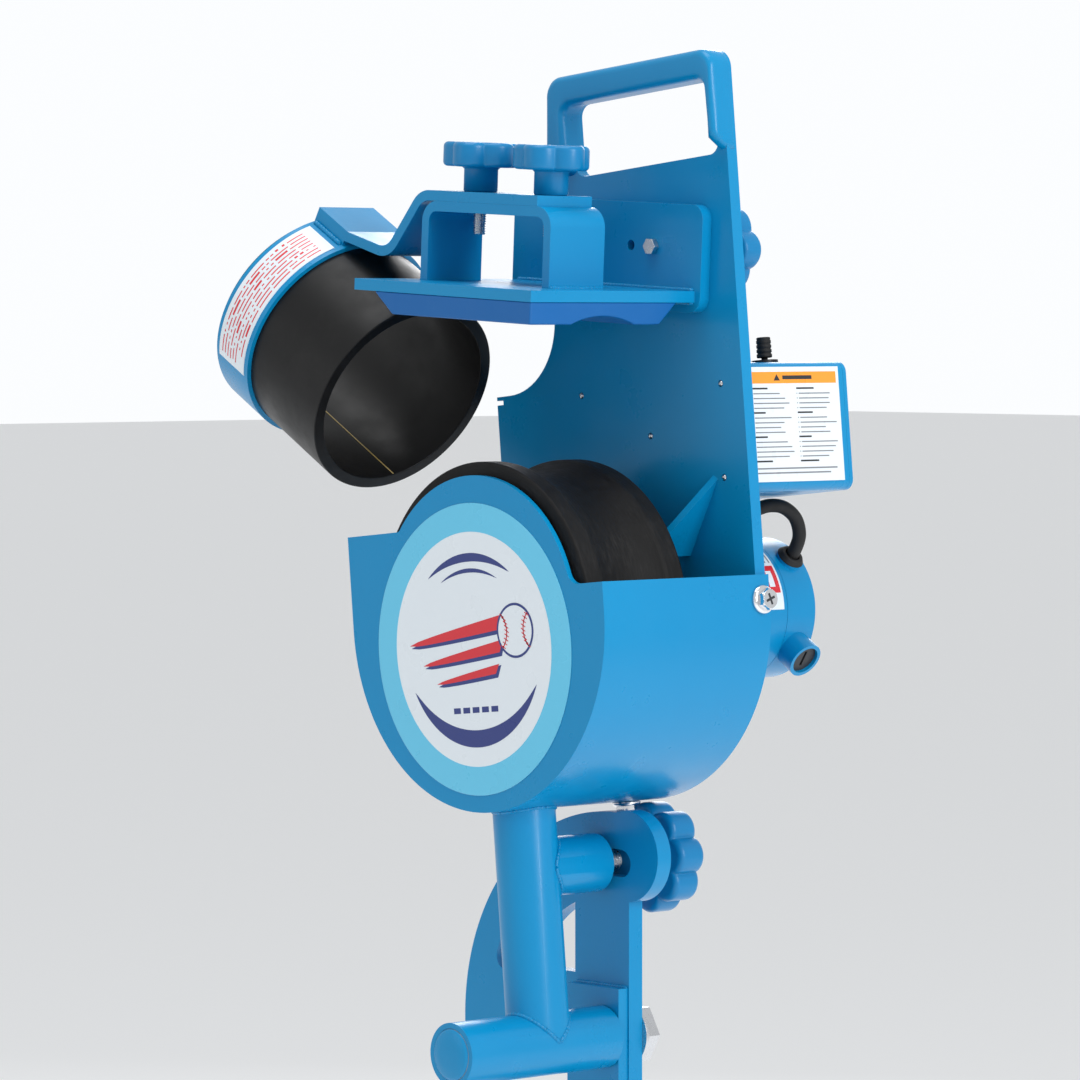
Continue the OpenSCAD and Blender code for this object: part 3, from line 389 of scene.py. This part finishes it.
def even_path(points, step):
    """The same route with points a fixed distance apart."""
    p = [Vector(q) for q in points]
    total = sum((b - a).length for a, b in zip(p, p[1:]))
    count = max(int(total / step), 2)
    out, i, run = [p[0]], 0, 0.0
    for k in range(1, count):
        want = total * k / count
        while run + (p[i + 1] - p[i]).length < want:
            run += (p[i + 1] - p[i]).length
            i += 1
        out.append(p[i].lerp(p[i + 1], (want - run) / (p[i + 1] - p[i]).length))
    return out + [p[-1]]


def tube(name, path, radius, body, material, place, n=16, replaces=()):
    """Tube along a route; radius is a number or a function of the point's index."""
    size = radius if callable(radius) else (lambda i: radius)
    rings, u = [], None
    for i, p in enumerate(path):
        d = (path[min(i + 1, len(path) - 1)] - path[max(i - 1, 0)]).normalized()
        if u is None:
            u = d.orthogonal().normalized()
        u = (u - d * u.dot(d)).normalized()
        v = d.cross(u)
        r = size(i)
        turns = [2 * math.pi * k / n for k in range(n)]
        rings.append([p + r * (u * math.cos(a) + v * math.sin(a)) for a in turns])
    mesh = built(name, [q for ring in rings for q in ring], loft(rings), place)
    return piece(name, mesh, body, material, replaces)


def weld(name, points, radius, body, place):
    """A weld bead: a tube with the overlapping ripples of a welder's passes."""
    path = even_path(points, radius * 0.22)
    rng = random.Random(name)
    wander = radius * 0.05
    drift = [Vector((rng.uniform(-1, 1), rng.uniform(-1, 1), rng.uniform(-1, 1))) for _ in path]
    path = [p + d * wander for p, d in zip(path, drift)]

    def size(i):
        wave = abs(math.sin(i * 0.42)) ** 0.6
        end = min(i, len(path) - 1 - i)
        return radius * (0.84 + 0.16 * wave) * min(1.0, 0.45 + 0.16 * end)
    return tube(name, path, size, body, WELD, place, n=10)


def circle_path(r, z, steps=48):
    """Points of a full circle at a height, with the first one again at the end."""
    turns = [2 * math.pi * i / steps for i in range(steps + 1)]
    return [(r * math.cos(a), r * math.sin(a), z) for a in turns]


def thread(name, r, z0, z1, pitch, body, material, place, replaces=(), n=40):
    """A screw thread along the place's Z, with chamfered ends."""
    depth = pitch * 0.5
    per = 8
    rows = int((z1 - z0) / pitch * per)
    rings = []
    for i in range(rows + 1):
        z = z0 + (z1 - z0) * i / rows
        ends = min(z - z0, z1 - z) / pitch
        limit = r - max(0.0, 1 - ends) * depth
        ring = []
        for k in range(n):
            phase = (z / pitch - k / n) % 1.0
            tooth = abs(2 * phase - 1)
            tooth = min(max((tooth - 0.1) / 0.8, 0.0), 1.0)
            q = min(r - depth * tooth, limit)
            ring.append((q * math.cos(2 * math.pi * k / n), q * math.sin(2 * math.pi * k / n), z))
        rings.append(ring)
    mesh = built(name, [q for ring in rings for q in ring], loft(rings), place)
    return piece(name, mesh, body, material, replaces)


def prism(name, outline, low, high, body, material, place, replaces=(), smooth=False):
    """Extrudes an outline of (x, y) points from low to high along the place's Z."""
    n = len(outline)
    verts = [(x, y, low) for x, y in outline] + [(x, y, high) for x, y in outline]
    faces = [tuple(range(n - 1, -1, -1)), tuple(range(n, 2 * n))]
    faces += [(k, (k + 1) % n, n + (k + 1) % n, n + k) for k in range(n)]
    return piece(name, built(name, verts, faces, place), body, material, replaces, smooth)


def lobed(name, place, body, lobes, r_out, r_low, height, edge, stem, replaces, sharpness=0.75, dish=0.8):
    """A moulded hand knob: soft lobes, rounded edges, a shallow dish on top, on a round stem."""
    n = lobes * 28

    def radius(k):
        w = 0.5 + 0.5 * math.cos(lobes * 2 * math.pi * k / n)
        return r_low + (r_out - r_low) * w ** sharpness
    levels = []
    stem_r, stem_h = stem
    levels.append((0.0, stem_r - 0.6, 0.0))
    levels.append((0.0, stem_r, 0.5))
    levels.append((0.0, stem_r, stem_h - 1.2))
    levels.append((0.0, stem_r + 1.2, stem_h))
    low = stem_h
    for a in range(0, 91, 15):
        t = math.radians(a)
        levels.append((1.0, -edge * (1 - math.sin(t)), low + edge * (1 - math.cos(t)) * 0.9))
    for a in range(0, 91, 15):
        t = math.radians(a)
        levels.append((1.0, -edge * (1 - math.cos(t)), low + height - edge * (1 - math.sin(t))))
    verts, rings = [], []
    for share, offset, z in levels:
        ring = []
        for k in range(n):
            r = offset if share == 0.0 else radius(k) + offset
            ring.append((r * math.cos(2 * math.pi * k / n), r * math.sin(2 * math.pi * k / n), z))
        rings.append(ring)
    top = low + height
    for f, drop in ((0.84, 0.0), (0.7, 0.02), (0.52, dish * 0.5), (0.38, dish), (0.15, dish)):
        rings.append([((radius(k) * f * 0.5 + r_low * f * 0.5) * math.cos(2 * math.pi * k / n),
                       (radius(k) * f * 0.5 + r_low * f * 0.5) * math.sin(2 * math.pi * k / n), top - drop)
                      for k in range(n)])
    for ring in rings:
        verts += ring
    mesh = built(name, verts, loft(rings), place)
    return piece(name, mesh, body, KNOB, replaces)


# ---- CAD parts with rounded edges ----

EDGES = {
    "main_plate": 0.9, "wheel_housing": 0.9, "shoe_bracket": 1.3, "chute_bracket": 1.4,
    "chute_arm": 1.3, "chute_tube": 0.6, "wheel_tyre": 1.6, "wheel_core": 0.6, "wheel_nut": 0.4,
    "motor_front_cap": 1.0, "motor_can": 0.4, "motor_rear_cap": 1.1, "brush_caps": 0.5,
    "control_box": 0.8, "control_cover": 0.8, "mains_gland": 0.5, "speed_dial": 0.5,
    "toggle_bush": 0.5, "post_frame": 1.0, "quadrant_plate": 1.2,
    "swivel_stem": 1.2, "pivot_shaft": 0.6, "column_tube": 1.4, "tripod_hub": 1.2, "hub_bolts": 0.5,
    "leg_rear": 1.2, "leg_left": 1.2, "leg_right": 1.2, "foot_rear": 2.0, "foot_left": 2.0,
    "foot_right": 2.0, "shoe_block": 1.0, "cover_screws": 0.25, "bracket_screws": 0.35,
    "lead_grommets": 0.6, "motor_screws": 0.3, "pivot_bushes": 0.4,
}
for node, width in EDGES.items():
    soften(node, width, CHUTE_BLACK if node == "chute_tube" else CAP_GREY if node == "brush_caps" else None)

# ---- Handle ----

def handle_loop():
    """The grip and its two legs as one thick bar with well rounded edges."""
    def outer_x(z):
        return -32.7 - 12.9 * (280 - z) / 116
    outer = [(outer_x(237 + 4.3 * i), 237 + 4.3 * i) for i in range(10)]
    outer += [(-22.6 + 10.1 * math.cos(math.radians(a)), 280 + 10.1 * math.sin(math.radians(a)))
              for a in range(180, 89, -9)]
    outer += [(-22.6 + 109.1 * i / 10, 290.1) for i in range(1, 10)]
    outer += [(86.5 + 10.1 * math.cos(math.radians(a)), 280 + 10.1 * math.sin(math.radians(a)))
              for a in range(90, -1, -9)]
    outer += [(96.6, 275.7 - 4.3 * i) for i in range(10)]
    inner = [(-20.5, 237 + 3.02 * i) for i in range(10)]
    inner += [(-13.6 + 6.9 * math.cos(math.radians(a)), 267.5 + 6.9 * math.sin(math.radians(a)))
              for a in range(180, 89, -9)]
    inner += [(-13.6 + 96.9 * i / 10, 274.4) for i in range(1, 10)]
    inner += [(83.3 + 6.9 * math.cos(math.radians(a)), 267.5 + 6.9 * math.sin(math.radians(a)))
              for a in range(90, -1, -9)]
    inner += [(90.2, 264.5 - 3.05 * i) for i in range(10)]
    front, rear = 101.4, 117.1
    count = len(outer)
    rings = []
    for i, (o, q) in enumerate(zip(outer, inner)):
        o, q = Vector((o[0], 0, o[1])), Vector((q[0], 0, q[1]))
        width = (o - q).length
        along = (o - q).normalized()
        end = min(i, count - 1 - i)
        start = front if end > 1 else front + (8.6, 4.3)[end]
        r_front = min(4.2, width * 0.48, (rear - start) * 0.5)
        r_rear = min(2.6, width * 0.4)
        ring = []
        for cx, cy, r, a0 in ((width - r_front, start + r_front, r_front, -90),
                              (width - r_rear, rear - r_rear, r_rear, 0),
                              (r_rear, rear - r_rear, r_rear, 90),
                              (r_front, start + r_front, r_front, 180)):
            for k in range(6):
                a = math.radians(a0 + 18 * k)
                ring.append(q + along * (cx + r * math.cos(a)) + Vector((0, cy + r * math.sin(a), 0)))
        rings.append(ring)
    mesh = built("handle_loop", [p for ring in rings for p in ring], loft(rings), HEAD)
    piece("handle_loop", mesh, "head", BLUE, ("handle_grip",))


handle_loop()

# ---- Knobs, studs and bolts ----

for name, x in (("front", 24.6), ("rear", -31)):
    body = name + "_chute_lock"
    lobed(name + "_chute_knob", SHOE @ move(x, 41, 53.55), body, 5, 20.5, 16.4, 13, 2.6, (9, 13),
          ("chute_knob_" + name,), sharpness=0.5)
    thread(name + "_chute_thread", 3.5, 0, 40.5, 1.25, body, ZINC, SHOE @ move(x, 41, 31),
           ("chute_stud_" + name,))

BACKWARD = turn(-90, "X")
lobed("shoe_lock_knob", SHOE @ move(62, 117.5, 28) @ BACKWARD, "shoe_lock", 5, 22, 17.4, 13, 2.6, (9, 8),
      ("shoe_knob",), sharpness=0.5)
thread("shoe_lock_thread", 4, 0, 24, 1.25, "head", ZINC, SHOE @ move(62, 110.1, 28) @ BACKWARD,
       ("shoe_stud",))
lobed("tilt_lock_knob", HEAD @ move(0, 86.4, -129.5) @ BACKWARD, "tilt_lock", 8, 29.3, 24.2, 18, 3.6,
      (13, 21), ("tilt_knob",), sharpness=0.35)
lobed("pan_lock_knob", STAND @ move(-40.6, 0, 578) @ turn(-90, "Y"), "pan_lock", 5, 22, 17.4, 14, 2.6,
      (10, 7.5), ("pan_knob",), sharpness=0.5)
thread("pan_lock_thread", 5, 0, 22, 1.5, "pan_lock", ZINC, STAND @ move(-19.3, 0, 578) @ turn(-90, "Y"))


def hexagon(name, flats, z0, z1, body, material, place, replaces=(), chamfer=0.9, n=96):
    """A hexagonal head or nut with its corners turned down at both ends."""
    def corner(k, limit):
        a = (2 * math.pi * k / n) % (math.pi / 3) - math.pi / 6
        return min(flats / 2 / math.cos(a), limit)
    rings = []
    for z, limit in ((z0, flats * 0.5), (z0 + chamfer, flats), (z1 - chamfer, flats), (z1, flats * 0.5)):
        rings.append([(corner(k, limit) * math.cos(2 * math.pi * k / n),
                       corner(k, limit) * math.sin(2 * math.pi * k / n), z) for k in range(n)])
    mesh = built(name, [p for ring in rings for p in ring], loft(rings), place)
    obj = piece(name, mesh, body, material, replaces)
    return bevelled(obj, 0.15, 2, 25)


lock = HEAD @ move(0, 0, -129.5) @ BACKWARD
thread("tilt_lock_thread", 5.9, 42, 118, 1.75, "head", ZINC, lock, ("tilt_bolt",))
turned("tilt_lock_washer", [(6, 72.05), (12.7, 72.05), (13, 72.35), (13, 73.3), (12.7, 73.6), (6, 73.6)],
       "head", ZINC, lock)
hexagon("tilt_lock_nut", 19, 73.6, 76.2, "head", ZINC, lock, chamfer=0.6)

for i, (angle, y, lift_z) in enumerate(((0, 111.5, 2), (180, 111.5, 2), (270, 97.5, 0))):
    place = HEAD @ move(0, y, lift_z) @ turn(90 - angle, "Y") @ move(0, 0, 99.05)
    stands_for = ("housing_bolts",) if i == 0 else ()
    rim = [(0, 0), (7.3, 0), (7.6, 0.3)] + arc(5.6, 0.4, 2.0, 0, 70, 4) + [(4, 2.4), (0, 2.4)]
    turned(f"housing_bolt_flange_{i}", rim, "head", CHROME, place, replaces=stands_for)
    hexagon(f"housing_bolt_head_{i}", 10, 1.2, 6.2, "head", CHROME, place, chamfer=0.8)
    # The cross recess in each head is a flat dark grey cross standing just proud of the head: painted shade
    # in place of a cut recess
    w, s = 0.65, 3.1
    cross = [(w, w), (s, w), (s, -w), (w, -w), (w, -s), (-w, -s),
             (-w, -w), (-s, -w), (-s, w), (-w, w), (-w, s), (w, s)]
    prism(f"housing_bolt_recess_shade_{i}", cross, 5.6, 6.26, "head", CAP_GREY, place @ turn(20, "Z"))
    thread(f"housing_bolt_thread_{i}", 2.5, -15, 0.2, 0.8, "head", ZINC, place, n=24)

# Rubber boot of the toggle, with ribs round it and a flat top
boot = [(0, -3.4), (1.8, -2.7), (2.5, -1), (1.7, 0.9), (1.7, 3.3), (3.8, 3.35)]
for i in range(4):
    z, r = 3.8 + 2.4 * i, 4.1 - 0.06 * i
    boot += [(r, z), (r, z + 1.4), (3.6, z + 1.7), (3.6, z + 2.1)]
boot += [(3.8, 13.6), (3.4, 14.15), (2.6, 13.8), (0, 13.8)]
turned("toggle_boot", boot, BODY_OF["power_toggle"], RUBBER, HEAD @ move(70, 153, 126.8), n=48,
       replaces=("power_toggle",))

# Tips of the box's small screws, level with the front of the back plate
screw_tip = [(0, -0.7), (0.7, -0.6), (1.3, -0.1), (1.6, 0.6), (1.6, 6.5), (0, 6.5)]
for i, (x, z) in enumerate(((-28, 119), (80, 116), (24, 93), (78, 67))):
    turned(f"screw_tip_{i}", screw_tip, "head", ZINC, HEAD @ move(x, 110, z) @ BACKWARD, n=24)

for i, degrees in enumerate((51.4, 231.4)):
    a = math.radians(degrees)
    place = HEAD @ move(27 * math.cos(a), 213.8, 27 * math.sin(a)) @ BACKWARD
    hexagon(f"motor_through_bolt_{i}", 7, 0, 3.2, "head", ZINC, place, chamfer=0.5)

# ---- Welds ----

for side, x in (("rear", -55.8), ("front", 46.8)):
    weld(f"weld_bracket_{side}", [(x, 22.5, 6.1), (x, 59.5, 6.1)], 1.4, "head", SHOE)
weld("weld_shoe_plate_top", [(-69, 103.2, 6.3), (69, 103.2, 6.3)], 1.3, "head", SHOE)
weld("weld_shoe_plate_under", [(-69, 103.2, -0.3), (69, 103.2, -0.3)], 1.3, "head", SHOE)
for side, y in (("near", 21.4), ("far", 60.6)):
    weld(f"weld_chute_arm_{side}", [(56.7, y - 41, 66), (56.7, y - 41, 91)], 1.5, "chute", CHUTE)


def around_post(height):
    """Ring round the upright post; height is a function of x and of the sine of the angle."""
    out = []
    for k in range(61):
        a = 2 * math.pi * k / 60
        x, y = 16.1 * math.cos(a), 25 + 16.1 * math.sin(a)
        out.append((x, y, height(x, math.sin(a))))
    return out


weld("weld_post_housing", around_post(lambda x, s: -math.sqrt(99 ** 2 - x * x) - 0.3), 1.3, "head", HEAD)
weld("weld_post_pivot", around_post(lambda x, s: -221 + 16.1 * abs(s) + 0.8), 1.4, "head", HEAD)
# The stub's round end meets the post's wall, which lies deeper at its sides
around_stub = [(x, 25 + math.sqrt(16.6 ** 2 - x * x) + 0.4, z - 129.5) for x, z, _ in circle_path(15.6, 0)]
weld("weld_post_stub", around_stub, 1.3, "head", HEAD)
PIVOT = STAND @ move(8, 0, 660) @ BACKWARD
# Domed cap in the front end of the pivot's tube
pivot_cap = [(0, -115.3), (7, -115.1), (11.6, -114.6), (13.2, -113.9), (13.4, -113.2), (13.4, -111.5),
             (0, -111.5)]
turned("pivot_cap", pivot_cap, "head", BLUE, PIVOT)
weld("weld_quadrant_rear", [(-20, 8.2, 612.2), (20, 8.2, 612.2)], 1.6, "swivel", STAND)
weld("weld_quadrant_front", [(-19, -8.2, 612.2), (19, -8.2, 612.2)], 1.6, "swivel", STAND)
weld("weld_doubler_top", [(-19.5, -1.6, 686.2), (19.5, -1.6, 686.2)], 1.2, "swivel", STAND)
weld("weld_hub_top", circle_path(22.3, 350.3), 1.6, "stand", STAND)
weld("weld_hub_under", circle_path(22.3, 309.7), 1.6, "stand", STAND)
weld("weld_collar", circle_path(22.3, 553.8), 1.6, "stand", STAND)

# ---- Chute: its parting line ----

line = math.radians(164)
path = [Vector((50.85 * math.cos(line), 50.85 * math.sin(line), z)) for z in (0.6, 30, 60, 94.4)]
tube("chute_parting_line", path, 0.4, "chute", GOLD, CHUTE, n=8)

# ---- Motor lead ----

route = smooth_path([
    (24, 201, 20), (28, 201, 23.5), (34, 201, 29), (39, 200.5, 37), (40.5, 197, 46), (39.5, 190, 52),
    (38, 181, 53.5), (37, 171, 51.5), (36, 161, 48), (36, 152, 46.5), (36, 145, 48.5), (36, 142, 53),
    (36, 142, 57.5), (36, 142, 62)], 8)
tube("motor_lead_smooth", route, 3.7, "head", RUBBER, HEAD, n=20,
     replaces=("motor_lead",))

# ---- Printed labels, with plain shapes only ----

def flat(name, shapes, level, body, material, place):
    """Thin printed shapes lying on a place's X-Y plane at a height in mm; shapes are lists of (x, y)."""
    verts, faces = [], []
    for outline in shapes:
        first = len(verts)
        verts += [(x, y, level) for x, y in outline]
        faces.append(tuple(range(first, len(verts))))
    mesh = bpy.data.meshes.new(name)
    mesh.from_pydata([place @ (Vector(v) * MM) for v in verts], [], faces)
    return piece(name, mesh, body, material, smooth=False)


def disc(x, y, r, n=96):
    """Outline of a round patch."""
    return [(x + r * math.cos(2 * math.pi * k / n), y + r * math.sin(2 * math.pi * k / n)) for k in range(n)]


def band(x, y, r, width, a0, a1, n=48):
    """A curved stripe that tapers to a point at both ends."""
    out = []
    for k in range(n + 1):
        a = math.radians(a0 + (a1 - a0) * k / n)
        out.append((x + r * math.cos(a), y + r * math.sin(a)))
    for k in range(n, -1, -1):
        a = math.radians(a0 + (a1 - a0) * k / n)
        q = r - width * math.sin(math.pi * k / n) ** 0.8
        out.append((x + q * math.cos(a), y + q * math.sin(a)))
    return out


def bar(x0, y0, x1, y1):
    """Outline of a rectangle."""
    return [(x0, y0), (x1, y0), (x1, y1), (x0, y1)]


FRONT = HEAD @ move(-3, 0, -14) @ turn(90, "X")
sticker = [(0, 0.01), (75.6, 0.01), (76, 0.1), (75.9, 0.36), (75.6, 0.4), (0, 0.4)]
turned("front_sticker", sticker, "head", SKY, FRONT, n=160, replaces=("front_decal",))
flat("front_sticker_field", [disc(0, 0, 61)], 0.44, "head", WHITE, FRONT)
flat("front_sticker_crescent", [band(0, 2, 53, 9, 205, 335)], 0.48, "head", NAVY, FRONT)


def swoosh(x0, x1, y, h, rise=0.12):
    """A streak that starts as a point and ends blunt."""
    long = x1 - x0
    steps = [t / 12 for t in range(13)]
    upper = [(x0 + long * t, y + rise * long * t + h * t ** 0.5 / 2) for t in steps]
    lower = [(x0 + long * t - 3 * t, y + rise * long * t - h * t ** 0.5 / 2) for t in reversed(steps)]
    return upper + lower


streaks = [(-50, 30, 4, 8), (-40, 24, -7, 6.5), (-30, 20, -17, 5)]
flat("front_sticker_shadow", [swoosh(a + 1.2, b + 1.6, y - 1.4, h + 1.4) for a, b, y, h in streaks],
     0.48, "head", NAVY, FRONT)
flat("front_sticker_streaks", [swoosh(*s) for s in streaks], 0.52, "head", RED, FRONT)
flat("front_sticker_ball_edge", [disc(34, 8, 14.2)], 0.56, "head", NAVY, FRONT)
flat("front_sticker_ball", [disc(34, 8, 12.9)], 0.6, "head", WHITE, FRONT)
stitches = []
for sign in (-1, 1):
    def seam(r, degrees):
        a = math.radians(degrees)
        return 34 + sign * (18 - r * math.cos(a)), 8 + r * math.sin(a)
    stitches.append([seam(12, a) for a in range(-48, 49, 8)] + [seam(11.2, a) for a in range(48, -49, -8)])
    for a in range(-44, 45, 11):
        x, y = seam(11.6, a)
        stitches.append([(x - 1.7, y + 0.7), (x - 1.5, y + 1.2), (x + 1.7, y - 0.7), (x + 1.5, y - 1.2)])
flat("front_sticker_seams", stitches, 0.64, "head", RED, FRONT)
flat("front_sticker_arch", [band(0, 0, 50, 4.5, 50, 130), band(0, 0, 42, 2.2, 58, 122)],
     0.48, "head", NAVY, FRONT)
flat("front_sticker_dashes", [bar(-18 + 7.4 * i, -33, -12.6 + 7.4 * i, -30) for i in range(5)],
     0.48, "head", NAVY, FRONT)

SIDE = HEAD @ move(87.9, 155, 93.6) @ Matrix(((0, 0, 1, 0), (1, 0, 0, 0), (0, 1, 0, 0), (0, 0, 0, 1)))
rng = random.Random(11)
flat("box_label_header", [bar(-32, 21.5, 32, 27.6)], 0.05, "head", ORANGE, SIDE)
flat("box_label_mark", [[(-14, 23), (-9.4, 23), (-11.7, 26.4)], bar(-7.5, 23.6, 14, 25.6)],
     0.09, "head", CAP_GREY, SIDE)
rows = []
for r in range(16):
    y = 18.4 - 2.55 * r
    for x0, x1 in ((-31, -1.8), (2.2, 31)):
        if r % 5 == 0:
            rows.append((bar(x0, y, x0 + rng.uniform(9, 16), y + 0.9), True))
        else:
            rows.append((bar(x0 + 1.6, y, x1 - rng.uniform(0, 9), y + 0.62), False))
            rows.append((bar(x0, y + 0.1, x0 + 0.55, y + 0.6), True))
rows.append((bar(-31, -23.6, 29, -22.8), False))
rows.append((bar(-31, -26, 24, -25.2), False))
flat("box_label_lines", [r for r, dark in rows if not dark], 0.05, "head", INK, SIDE)
flat("box_label_headings", [r for r, dark in rows if dark], 0.05, "head", CAP_GREY, SIDE)


def wrapped(name, patches, r, body, material, place):
    """Printed patches on a cylinder; each is (angle from, angle to, z from, z to)."""
    verts, faces = [], []
    for a0, a1, z0, z1 in patches:
        steps = max(int(abs(a1 - a0) / 3), 1)
        first = len(verts)
        for k in range(steps + 1):
            a = math.radians(a0 + (a1 - a0) * k / steps)
            verts += [(r * math.cos(a), r * math.sin(a), z0), (r * math.cos(a), r * math.sin(a), z1)]
        for k in range(steps):
            q = first + 2 * k
            faces.append((q, q + 2, q + 3, q + 1))
    mesh = bpy.data.meshes.new(name)
    mesh.from_pydata([place @ (Vector(v) * MM) for v in verts], [], faces)
    return piece(name, mesh, body, material)


red_rows, bold_rows = [], []
for r in range(8):
    z = 67.4 + 2.55 * r
    a = -30
    while a > -108:
        length = rng.uniform(5, 12)
        target = bold_rows if rng.random() < 0.16 else red_rows
        if a - length > -111:
            target.append((a - length, a, z, z + (1.35 if target is bold_rows else 0.8)))
        a -= length + 1.6
wrapped("chute_label_lines", red_rows, 60.1, "chute", RED, CHUTE)
wrapped("chute_label_bold", bold_rows, 60.11, "chute", RED, CHUTE)

MOTOR = HEAD @ BACKWARD
wrapped("motor_label_block", [(-34, -10, 174.5, 185)], 38.46, "head", RED, MOTOR)
wrapped("motor_label_mark", [(-29, -15, 178, 182)], 38.5, "head", WHITE, MOTOR)
wrapped("motor_label_lines",
        [(-56 + rng.uniform(0, 4), -37, 160 + 3 * i, 161 + 3 * i) for i in range(9)]
        + [(-34, -10, 160 + 3 * i, 161 + 3 * i) for i in range(4)], 38.46, "head", INK, MOTOR)

DIAL = HEAD @ move(58, 195.5, 104) @ BACKWARD
ticks = []
for i in range(11):
    a = math.radians(90 + 135 - 27 * i)
    u, v = (math.cos(a), math.sin(a)), (-math.sin(a), math.cos(a))
    w = 0.45 if i % 5 else 0.8
    ticks.append([(u[0] * q + v[0] * s, u[1] * q + v[1] * s)
                  for q, s in ((16.2, -w), (19, -w), (19, w), (16.2, w))])
flat("dial_scale", ticks, 0.06, "head", WHITE, DIAL)

# ---- Fillets where the round front meets the level walls ----

for name, cx, level, f, side in (("exit", 80.8, 15, 8, 1), ("feed", -58.1, 50.5, 3, -1)):
    cz = level + f
    start = math.degrees(math.atan2(-cz, -cx))
    start = start + 360 if start < 0 else start
    end = 270
    points = [(cx + f * math.cos(math.radians(start + (end - start) * k / 10)),
               cz + f * math.sin(math.radians(start + (end - start) * k / 10))) for k in range(11)]
    points += [(cx, level - 2), (cx - side * (f + 4), level - 2), (cx - side * (f + 4), cz - f * 0.6)]
    prism("front_fillet_" + name, points, 0.02, 2.98, "head", BLUE, HEAD @ turn(90, "X") @ move(0, 0, -3))

for node in sorted(frame["nodes"]):
    shown = frame["nodes"][node]
    if not shown.hide_render:
        shown.data.materials.clear()
        shown.data.materials.append(LOOK_OF_SLOT[SLOT_OF[node]])

# ---- Camera, light and floor ----

# The wheel's centre is placed in the frame, and the lens is long: sizes here are in frame pixels
WIDE = 1080
PER_MM = 1.93
wheel_at = (475.5, 622.0)
eye_at = HEAD @ Vector((0, 0, 0))
azimuth = math.radians(48.2)
lift = math.radians(2.4)
focal = 5300.0
reach = focal / PER_MM * MM
back = Vector((math.sin(azimuth) * math.cos(lift), -math.cos(azimuth) * math.cos(lift), math.sin(lift)))
right = Vector((math.cos(azimuth), math.sin(azimuth), 0))
up = back.cross(right)
side = (wheel_at[0] - WIDE / 2) / focal * reach
rise = -(wheel_at[1] - WIDE / 2) / focal * reach
camera = bpy.data.cameras.new("camera")
camera.lens = focal / WIDE * 36
camera.sensor_width = 36
camera.clip_start = 0.1
camera.clip_end = 200
view = bpy.data.objects.new("camera", camera)
view.matrix_world = Matrix((
    (right.x, up.x, back.x, 0), (right.y, up.y, back.y, 0), (right.z, up.z, back.z, 0), (0, 0, 0, 1)))
view.location = eye_at - side * right - rise * up + reach * back
bpy.context.scene.collection.objects.link(view)
bpy.context.scene.camera = view


def area(name, location, target, size, power):
    """A soft rectangular lamp that faces a target; places in metres."""
    lamp = bpy.data.lights.new(name, "AREA")
    lamp.shape = "RECTANGLE"
    lamp.size, lamp.size_y = size
    lamp.energy = power
    obj = bpy.data.objects.new(name, lamp)
    obj.location = location
    obj.rotation_euler = (Vector(target) - Vector(location)).to_track_quat("-Z", "Y").to_euler()
    bpy.context.scene.collection.objects.link(obj)


middle = (0.1, -0.03, 0.8)
area("key", (3.4, 0.1, 2.0), middle, (1.0, 2.0), 66)
area("fill", (-1.6, -3.2, 1.7), middle, (1.6, 1.8), 6)
area("top", (0.2, -0.4, 3.6), middle, (1.8, 1.8), 36)
area("rim", (-2.2, 2.8, 2.2), middle, (1.2, 1.8), 36)

bpy.context.scene.view_settings.view_transform = "Standard"
world = bpy.data.worlds.new("studio")
bpy.context.scene.world = world
world.use_nodes = True
background = world.node_tree.nodes["Background"]
background.inputs["Color"].default_value = (0.97, 0.985, 1.0, 1)
# The room is brighter to the camera than to the object, so that the backdrop is near white
seen = world.node_tree.nodes.new("ShaderNodeLightPath")
strength = world.node_tree.nodes.new("ShaderNodeMapRange")
strength.inputs["To Min"].default_value = 0.72
strength.inputs["To Max"].default_value = 1.0
world.node_tree.links.new(seen.outputs["Is Camera Ray"], strength.inputs["Value"])
world.node_tree.links.new(strength.outputs["Result"], background.inputs["Strength"])

floor_mesh = bpy.data.meshes.new("floor")
floor_mesh.from_pydata([(-40, -40, 0), (40, -40, 0), (40, 40, 0), (-40, 40, 0)], [], [(0, 1, 2, 3)])
floor = bpy.data.objects.new("floor", floor_mesh)
bpy.context.scene.collection.objects.link(floor)
pale = Nodes("floor", (0.95, 0.955, 0.96, 1), 0.6)
floor_mesh.materials.append(pale.material)
